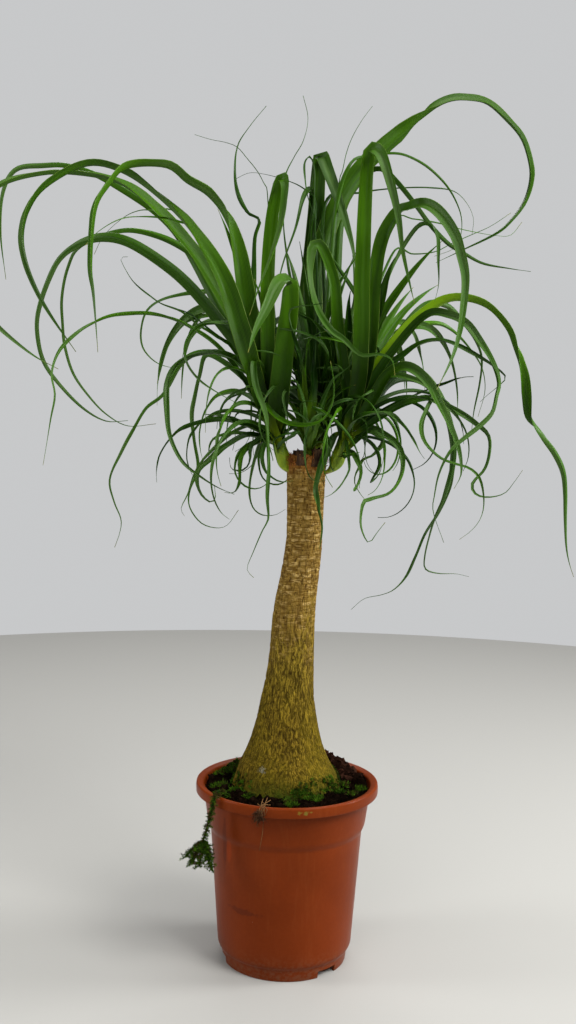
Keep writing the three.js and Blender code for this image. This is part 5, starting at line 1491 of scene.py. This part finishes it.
def blade_nodes():
    """Leaf blades along lines: a channelled section with thin wavy edges, shaped by the line's values"""
    inputs = {"Lines": "Geometry", "Thickness": 0.0008, "Channel": 0.3, "Wave": 0.1, "Wave length": 0.03,
              "Seed": 0.0, "Finish": "Material"}
    tree = new_tree("leaf blades", "GeometryNodeTree", inputs, {"Geometry": "Geometry"})
    given = tree.given
    section = tree.out("GeometryNodeCurvePrimitiveCircle", {"Resolution": 16, "Radius": 1.0}, "Curve")
    split = tree.split(tree.out("GeometryNodeInputPosition"))
    section = tree.stored(tree.stored(section, "across", split["X"]), "rise", split["Y"])
    lines = tree.out("GeometryNodeMeshToCurve", {0: given["Lines"]})
    sockets = {"Curve": lines, "Profile Curve": section, "Fill Caps": True}
    body = tree.out("GeometryNodeCurveToMesh", sockets)
    across, rise, half, share, past = map(tree.value, ("across", "rise", "half", "along", "past"))
    out = tree.maths("ABSOLUTE", across)
    tip = tree.ranged(share, 0.8, 1.0, 1.0, 0.4)
    sheath = tree.ranged(share, 0.0, 0.14, 1.9, 1.0)
    flatter = tree.ranged(half, 0.003, 0.009, 1.0, 0.62)
    channel = tree.times(given["Channel"], sheath, tip, flatter)
    fold = tree.times(tree.minus(tree.maths("POWER", out, 1.15), 0.45), channel)
    length = tree.maths("DIVIDE", tree.value("travelled"), given["Wave length"])
    place = tree.combined(length, tree.times(across, 0.7), tree.times(tree.value("shade"), 37.0))
    sockets = {"Vector": place, "W": given["Seed"], "Scale": 1.0, "Detail": 1.0}
    ripple = tree.out("ShaderNodeTexNoise", sockets, noise_dimensions="4D")
    wave = tree.times(tree.minus(ripple, 0.5), given["Wave"], out, tip)
    thin = tree.ranged(half, 0.0, 0.004, 0.5, 1.0, smooth=False)
    skin = tree.times(rise, given["Thickness"], thin, 0.5)
    lift = tree.plus(tree.times(tree.plus(fold, wave), half), skin)
    middle, side, up = (tree.value(name, "FLOAT_VECTOR") for name in ("middle", "side", "up"))
    at = tree.vectors("ADD", middle, tree.scaled(side, tree.times(across, half)))
    at = tree.vectors("ADD", at, tree.scaled(up, lift))
    shaped = tree.out("GeometryNodeSetPosition", {"Geometry": body, "Position": at})
    # under: where a blade shows its grey-green underside, on one face before the arch's peak and on the other
    # face after it, with the faces of drawn leaves set by the eye's side. Past the peak this grey also stands
    # in for the sheen on the arches: painted sheen.
    green = tree.ranged(tree.times(rise, tree.value("faced")), -0.1, 0.1)
    underside_sheen_before_peak = tree.times(tree.minus(1.0, green), tree.minus(1.0, past))
    under = tree.stored(shaped, "under", tree.plus(tree.times(green, past), underside_sheen_before_peak))
    return tree.finished(tree.out("GeometryNodeSetShadeSmooth", {0: under}))


def make_leaves():
    """Each shoot's blades, grown along the same lines as on the fixed model"""
    nodes = blade_nodes()
    finishes = {"leaf": leaf_material("leaf", 0.0), "young_leaf": leaf_material("young leaf", 0.4)}
    sheath_finish = sheath_material()
    leaves = [Leaf(row, order, False) for order, row in enumerate(DRAWN)]
    leaves += [Leaf(row, order, True) for row in GROWN + FINE for order in range(row[1])]
    for shoot in STEMS:
        solid = BVHTree.FromObject(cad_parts[f"shoot_{shoot}"], bpy.context.evaluated_depsgraph_get())
        paths, worst = [], 0.0
        for leaf in leaves:
            if leaf.shoot == shoot:
                bend, away = true_bend(solid, leaf) if leaf.fixed else (0, 0)
                worst = max(worst, away)
                paths.append(leaf_path(leaf, bend))
        print(f"{shoot}: {len(paths)} leaves, farthest {worst / MM:.2f} mm from the fixed model")
        values = {name: np.concatenate([path[name] for path in paths]) for name in paths[0]}
        ends = np.cumsum([len(path["along"]) for path in paths])
        edges = [(i, i + 1) for i in range(ends[-1] - 1) if i + 1 not in ends]
        lines = bpy.data.meshes.new(f"lines_{shoot}")
        lines.from_pydata([tuple(point) for point in values["middle"]], edges, [])
        set_values(lines, **values)
        slot = "young_leaf" if shoot == "young" else "leaf"
        mesh = shown(f"leaves_{shoot}", lines, nodes, thickness=0.7 * MM, channel=0.9, wave=0.5,
                     wave_length=32 * MM, seed=float(len(paths)), finish=finishes[slot])
        piece(f"leaves_{shoot}", mesh, finishes[slot], [f"shoot_{shoot}"])
        piece(f"sheath_{shoot}", sheath_mesh(shoot), sheath_finish)


SHEATH_SIDES = 60
SHEATH_RINGS = 44
SHEATH_GIRTH = 0.86
SHEATH_FOLD = 0.07
SHEATH_CLOSING = 1.1
# Folds of the wrapped bases: how many go round, how far they turn on the way up, size
SHEATH_WAVES = ((3, 7, 1.0), (7, -5, 0.5))


def sheath_mesh(shoot):
    """The swollen foot of a shoot, wrapped in the bases of its leaves"""
    stem = smooth_curve(np.array(STEMS[shoot], float) * CM, SHEATH_RINGS)
    shares = np.linspace(0, 1, SHEATH_RINGS + 1)
    rings = []
    for share, (x, y, z, radius) in zip(shares, stem):
        ring = []
        for turn in turns_round(SHEATH_SIDES):
            wrap = sum(size * math.sin(often * turn + climb * share) for often, climb, size in SHEATH_WAVES)
            open_share = math.sin(math.pi * min(1, share * SHEATH_CLOSING))
            reach = radius * (SHEATH_GIRTH + SHEATH_FOLD * wrap * open_share)
            ring.append(round_point(reach, turn, z, x, y))
        rings.append(ring)
    mesh = ring_mesh(f"sheath_{shoot}", rings)
    set_values(mesh, share=np.repeat(shares, SHEATH_SIDES))
    return mesh


def leaf_streaks(tree, wide, lengthwise, detail):
    """Streaks along a blade, with their width and length, other ones on each leaf"""
    parts = (("across", wide), ("travelled", lengthwise), ("shade", 41.0))
    place = tree.combined(*(tree.times(tree.read(name), scale) for name, scale in parts))
    return tree.noise(place, 1.0, detail)


def leaf_material(name, pale_all):
    tree = Finish(name, 0.38, 0.09, 0.03)
    tree.set(Subsurface_Radius=(0.002, 0.004, 0.001))
    across, share, under, shade, half = map(tree.read, ("across", "along", "under", "shade", "half"))
    bands, fine = leaf_streaks(tree, 1.6, 9.0, 2.0), leaf_streaks(tree, 6.0, 26.0, 1.0)
    pale = tree.maths("ADD", tree.read("pale"), pale_all, clamp=True)
    vein = tree.maths("SINE", tree.times(across, 52.0))
    ribbed = tree.times(vein, tree.ranged(half, 0.003, 0.01, 0.0, 1.5))
    edge = tree.ranged(tree.maths("ABSOLUTE", across), 0.9, 0.99, 0.0, 0.3)
    # Grey-green underside: the leaf's own paler underside, lightened further as painted sheen where the
    # blades arch over
    underside_sheen_grey = tree.blended(tree.ranged(bands, 0.35, 0.65), (40, 74, 20), (98, 128, 70))
    # Painted shade: blades darker in the middle of the crown
    painted_crown_shade = tree.mark((0.018, 0.01, 0.655), (0.13, 0.13, 0.12), 0.6, 30.0)
    dry = tree.times(tree.ranged(share, 0.965, 1.0), tree.ranged(shade, 0.4, 0.6))
    colour = tree.coated(
        tree.blended(shade, (9, 38, 1), (68, 114, 4)),
        (tree.ranged(bands, 0.4, 0.68, 0.0, 0.55), (12, 42, 2)),
        (tree.ranged(fine, 0.4, 0.68, 0.0, 0.3), (56, 100, 8)),
        # Painted shade: each blade darker towards its base, inside the crown
        (tree.ranged(share, 0.46, 0.08, 0.0, 0.74), (11, 34, 3)),
        (tree.times(pale, tree.ranged(share, 0.52, 0.26)), (120, 160, 18)),
        (tree.ranged(ribbed, -0.2, 1.5, 0.0, 0.16), (100, 138, 30)),
        (tree.times(edge, tree.ranged(half, 0.002, 0.006)), (124, 146, 50)),
        (under, underside_sheen_grey, 0.45), (painted_crown_shade, (12, 36, 3), 0.3),
        (tree.ranged(share, 0.09, 0.0, 0.0, 0.85), (124, 148, 16)), (dry, (118, 112, 48), 0.7))
    rough_share = tree.ranged(fine, 0.3, 0.7, 0.33, 0.45, smooth=False)
    normal = tree.relief(140.0, 0.00004, 0.6, height=ribbed)
    return tree.set(Base_Color=colour, Roughness=rough_share, Normal=normal)


def sheath_material():
    tree = Finish("sheath", 0.5, 0.35, 0.1)
    tree.set(Subsurface_Radius=(0.003, 0.004, 0.001))
    share = tree.read("share")
    tone = tree.tone(160.0, 700.0, 0.4, (1, 1, 0.15))
    colour = tree.coated(
        tree.blended(tone["Value"], (92, 122, 8), (142, 164, 24)),
        (tree.ranged(share, 0.5, 0.85), (60, 100, 10)), (tree.ranged(share, 0.2, 0.08), (130, 78, 32)))
    return tree.set(Base_Color=colour, Normal=tree.relief(900.0, 0.0004, 0.6, (1, 1, 0.12)))


# Moss strand and dry roots: stems along lines, with little leaves strewn along them

STRAND = [
    # x, height, depth, radius in centimetres, placed as the drawn leaves are
    (-6.7, 18, -5.6, 0.2), (-7.3, 19.2, -6.35, 0.22), (-7.9, 19.3, -7, 0.3),
    (-8.35, 18.9, -7.65, 0.3), (-8.7, 17.4, -7.8, 0.3), (-9.05, 15.8, -7.6, 0.3),
    (-9.4, 14.4, -7.6, 0.2), (-9.7, 13.3, -7.6, 0.16),
]
# The clump at its end: branches, drawn in the same way, whose radii are all alike
BRANCHES = [
    [(-9.7, 13.3, -7.6), (-10.4, 12.8, -7.9), (-11.1, 12.1, -8.1), (-11.8, 11.4, -8.2)],
    [(-9.7, 13.3, -7.6), (-10.2, 12.3, -7.7), (-10.8, 11.3, -7.9), (-11.2, 10.5, -8)],
    [(-9.7, 13.3, -7.6), (-9.8, 12.3, -7.9), (-10, 11.2, -8.2), (-10.2, 10.3, -8.4)],
    [(-9.6, 13.3, -7.6), (-9.2, 12.2, -7.7), (-9, 11, -7.9), (-8.7, 9.9, -8)],
    [(-9.6, 13.3, -7.6), (-9.3, 12.6, -7.3), (-9.1, 11.9, -7.2), (-9, 11.2, -7.2)],
]
BRANCH_RADII = (0.16, 0.14, 0.12, 0.08)
STRAND_SPRIGS = 90
STRAND_REACH = (2.0 * MM, 5.5 * MM)
STRAND_STEPS = 60
BRANCH_SPRIGS = 34
BRANCH_REACH = (3 * MM, 7.5 * MM)
SPRIG_STEPS = 5
SPRIG_WIDTHS = (0.4 * MM, 0.2 * MM)
SPRIG_LEAFY = (1.0, 0.8)
SPRIG_LEAN = 1.3
SPRIG_LEAN_SEED = 9
SPRIG_SPAN = (0.03, 0.99)
SPRIG_FALL = (-0.7, 0.0)
SPRIG_DEPTH = 0.7
STEM_SHARE = 0.5
STEM_UNEVEN = 0.4

# The tuft of dry roots at one place of the rim: x, then the heights that it spans
TUFT_X = -0.030
TUFT_SPAN = (0.190, 0.206)
TUFT_WIDTH = 10 * MM
TUFT_HAIRS = 200
HAIR_LENGTHS = (2.5 * MM, 7.0 * MM)
HAIR_GAPS = (0.3 * MM, 2.2 * MM)
HAIR_WIDTHS = (0.36 * MM, 0.18 * MM)
HAIR_CURL = 3.2
HAIR_STEPS = 7
HAIR_NEARER = 0.15
HAIR_FALL = 0.3
HAIR_FACED = (0.2, 0.1, 0.9)
TUFT_THREADS = 8
THREAD_WIDTH = 0.3 * MM
THREAD_STEPS = 12
THREAD_HEIGHTS = (0.200, 0.2075)
THREAD_SPREAD = (-3 * MM, 6 * MM)
THREAD_ASIDE = (-1 * MM, 5 * MM)
THREAD_ENDS = ((-6 * MM, 9 * MM), (7 * MM, 14 * MM), (-3 * MM, 5 * MM))
THREAD_INSET = 4 * MM
THREAD_LIFT = 0.6 * MM
ROOT_WIDTH = 0.27 * MM
ROOT_STEPS = 40
ROOT_GAP = 0.5 * MM
# Long thin roots below the tuft: x and height, from the rim's edge down the side of the pot
LONG_ROOTS = [
    [(-0.0252, 0.200), (-0.0248, 0.193), (-0.0256, 0.185), (-0.0262, 0.176), (-0.0276, 0.166),
     (-0.0292, 0.1545)],
    [(-0.0310, 0.196), (-0.0322, 0.189), (-0.0306, 0.183)],
]


def sprig_nodes():
    """Thin stems along lines, with tufts of small leaves strewn along them"""
    inputs = {"Lines": "Geometry", "Shape": "Object", "Spacing": 0.001, "Least size": 0.002,
              "Most size": 0.005, "Seed": 1, "Finish": "Material"}
    tree = new_tree("leafy stems", "GeometryNodeTree", inputs, {"Geometry": "Geometry"})
    lines = tree.out("GeometryNodeMeshToCurve", {0: tree.given["Lines"]})
    section = tree.out("GeometryNodeCurvePrimitiveCircle", {"Resolution": 6, "Radius": 1.0}, "Curve")
    sockets = {"Curve": lines, "Profile Curve": section, "Scale": tree.value("thick"), "Fill Caps": True}
    stems = tree.out("GeometryNodeCurveToMesh", sockets)
    sockets = {"Curve": lines, "Length": tree.given["Spacing"]}
    points = tree.add("GeometryNodeCurveToPoints", sockets, mode="LENGTH").outputs
    leafy = tree.value("leafy")
    tufts = copies_on(tree, points[0], points["Rotation"], SPRIG_LEAN, SPRIG_LEAN_SEED, leafy)
    whole = tree.add("GeometryNodeJoinGeometry")
    for part in (tufts, stems):
        tree.put(whole.inputs[0], part)
    return tree.finished(whole.outputs[0])


def leafy_line(rows, count, reaches, seed):
    """A stem through drawn rows, with count sprigs that leave it all round and lean down"""
    fine = smooth_curve([(*placed(*place), radius * CM) for *place, radius in rows], STRAND_STEPS)
    lines = [[(Vector(row[:3]), row[3] * STEM_SHARE, 1.0 + rough(i * STEM_UNEVEN, seed, 0))
              for i, row in enumerate(fine)]]
    for i in range(count):
        u = mix(*SPRIG_SPAN, (i + draw(seed, i)) / count)
        start = Vector([along(fine[:, axis], u) for axis in range(3)])
        turn = i * GOLDEN_TURN
        reach = mix(*reaches, draw(seed + 1, i))
        down = mix(*SPRIG_FALL, draw(seed + 2, i))
        way = Vector((math.cos(turn), SPRIG_DEPTH * math.sin(turn), down)).normalized()
        lines.append(thin_stem(start, way * reach, Vector(), SPRIG_STEPS, SPRIG_WIDTHS, SPRIG_LEAFY))
    return lines


def make_strand(nodes):
    """The strand of moss that hangs over the rim, with its clump of branches"""
    lines = leafy_line(STRAND, STRAND_SPRIGS, STRAND_REACH, 5)
    for number, branch in enumerate(BRANCHES):
        rows = [(*place, radius) for place, radius in zip(branch, BRANCH_RADII)]
        lines += leafy_line(rows, BRANCH_SPRIGS, BRANCH_REACH, 10 + 4 * number)
    finish = moss_material("strand moss", 0.4, (56, 38, 20))
    strewn("moss_strand_leafy", line_mesh("strand_lines", lines), nodes, spike_tuft("moss_sprig", 6, 3, 1.1),
           "moss", finish, ["moss_strand"], spacing=0.9 * MM, least_size=2.4 * MM, most_size=4.8 * MM, seed=4)


def on_pot(x, height, gap=ROOT_GAP):
    """The point that lies a gap off the front of the pot's rim or wall"""
    radius = RIM_RADIUS if height > POT_HEIGHT - RIM_HEIGHT else float(wall_radius(height))
    return Vector((x, -math.sqrt((radius + gap) ** 2 - x * x), height))


def thread(points, steps, thick):
    return [(Vector(point), thick, 0.0) for point in smooth_curve(points, steps)]


def make_root_tuft(nodes):
    """A tuft of dry roots on the rim, with threads over the rim and long thin roots down the pot"""
    knot = []
    for i in range(TUFT_HAIRS):
        turn = 2 * math.pi * draw(61, i)
        spread = math.sqrt(draw(65, i))
        x = TUFT_X + 0.5 * TUFT_WIDTH * spread * math.cos(turn)
        height = mix(*TUFT_SPAN, 0.5 + 0.5 * spread * math.sin(turn))
        start = on_pot(x, height, mix(*HAIR_GAPS, draw(66, i) * (1 - spread)))
        around = 2 * math.pi * draw(62, i)
        nearer = -HAIR_NEARER * draw(67, i)
        way = Vector((math.cos(around), nearer, math.sin(around) - HAIR_FALL)).normalized()
        reach = mix(*HAIR_LENGTHS, draw(63, i))
        side = way.cross(Vector(HAIR_FACED)).normalized() * (draw(64, i) - 0.5) * HAIR_CURL * reach
        knot.append(thin_stem(start, way * reach, side, HAIR_STEPS, HAIR_WIDTHS))
    threads = [thread([on_pot(*place) for place in route], ROOT_STEPS, ROOT_WIDTH) for route in LONG_ROOTS]
    for i in range(TUFT_THREADS):
        x = TUFT_X + mix(*THREAD_SPREAD, draw(91, i))
        aside = x + mix(*THREAD_ASIDE, draw(96, i))
        top_x = x + mix(*THREAD_SPREAD, draw(95, i))
        top_y = -math.sqrt((RIM_RADIUS - THREAD_INSET) ** 2 - top_x ** 2)
        top = (top_x, top_y, POT_HEIGHT + THREAD_LIFT)
        end = [at + mix(*span, draw(92 + axis, i))
               for axis, (at, span) in enumerate(zip((top_x, top_y, POT_HEIGHT), THREAD_ENDS))]
        over = [on_pot(*place) for place in zip((x, aside), THREAD_HEIGHTS)]
        threads.append(thread([*over, top, end], THREAD_STEPS, THREAD_WIDTH))
    bare_stems("root_tuft", knot, nodes, dry_material("dry root", (16, 9, 5), (88, 58, 36)))
    bare_stems("root_threads", threads, nodes, dry_material("pale root", (84, 56, 32), (146, 108, 68)))


# Assembly

make_camera()
make_floor()
make_lights()
scatter = scatter_nodes()
sprigs = sprig_nodes()
make_pot()
trunk = make_trunk()
make_stubs()
make_cut_fibres(sprigs)
make_ground(scatter, trunk)
make_leaves()
make_strand(sprigs)
make_root_tuft(sprigs)
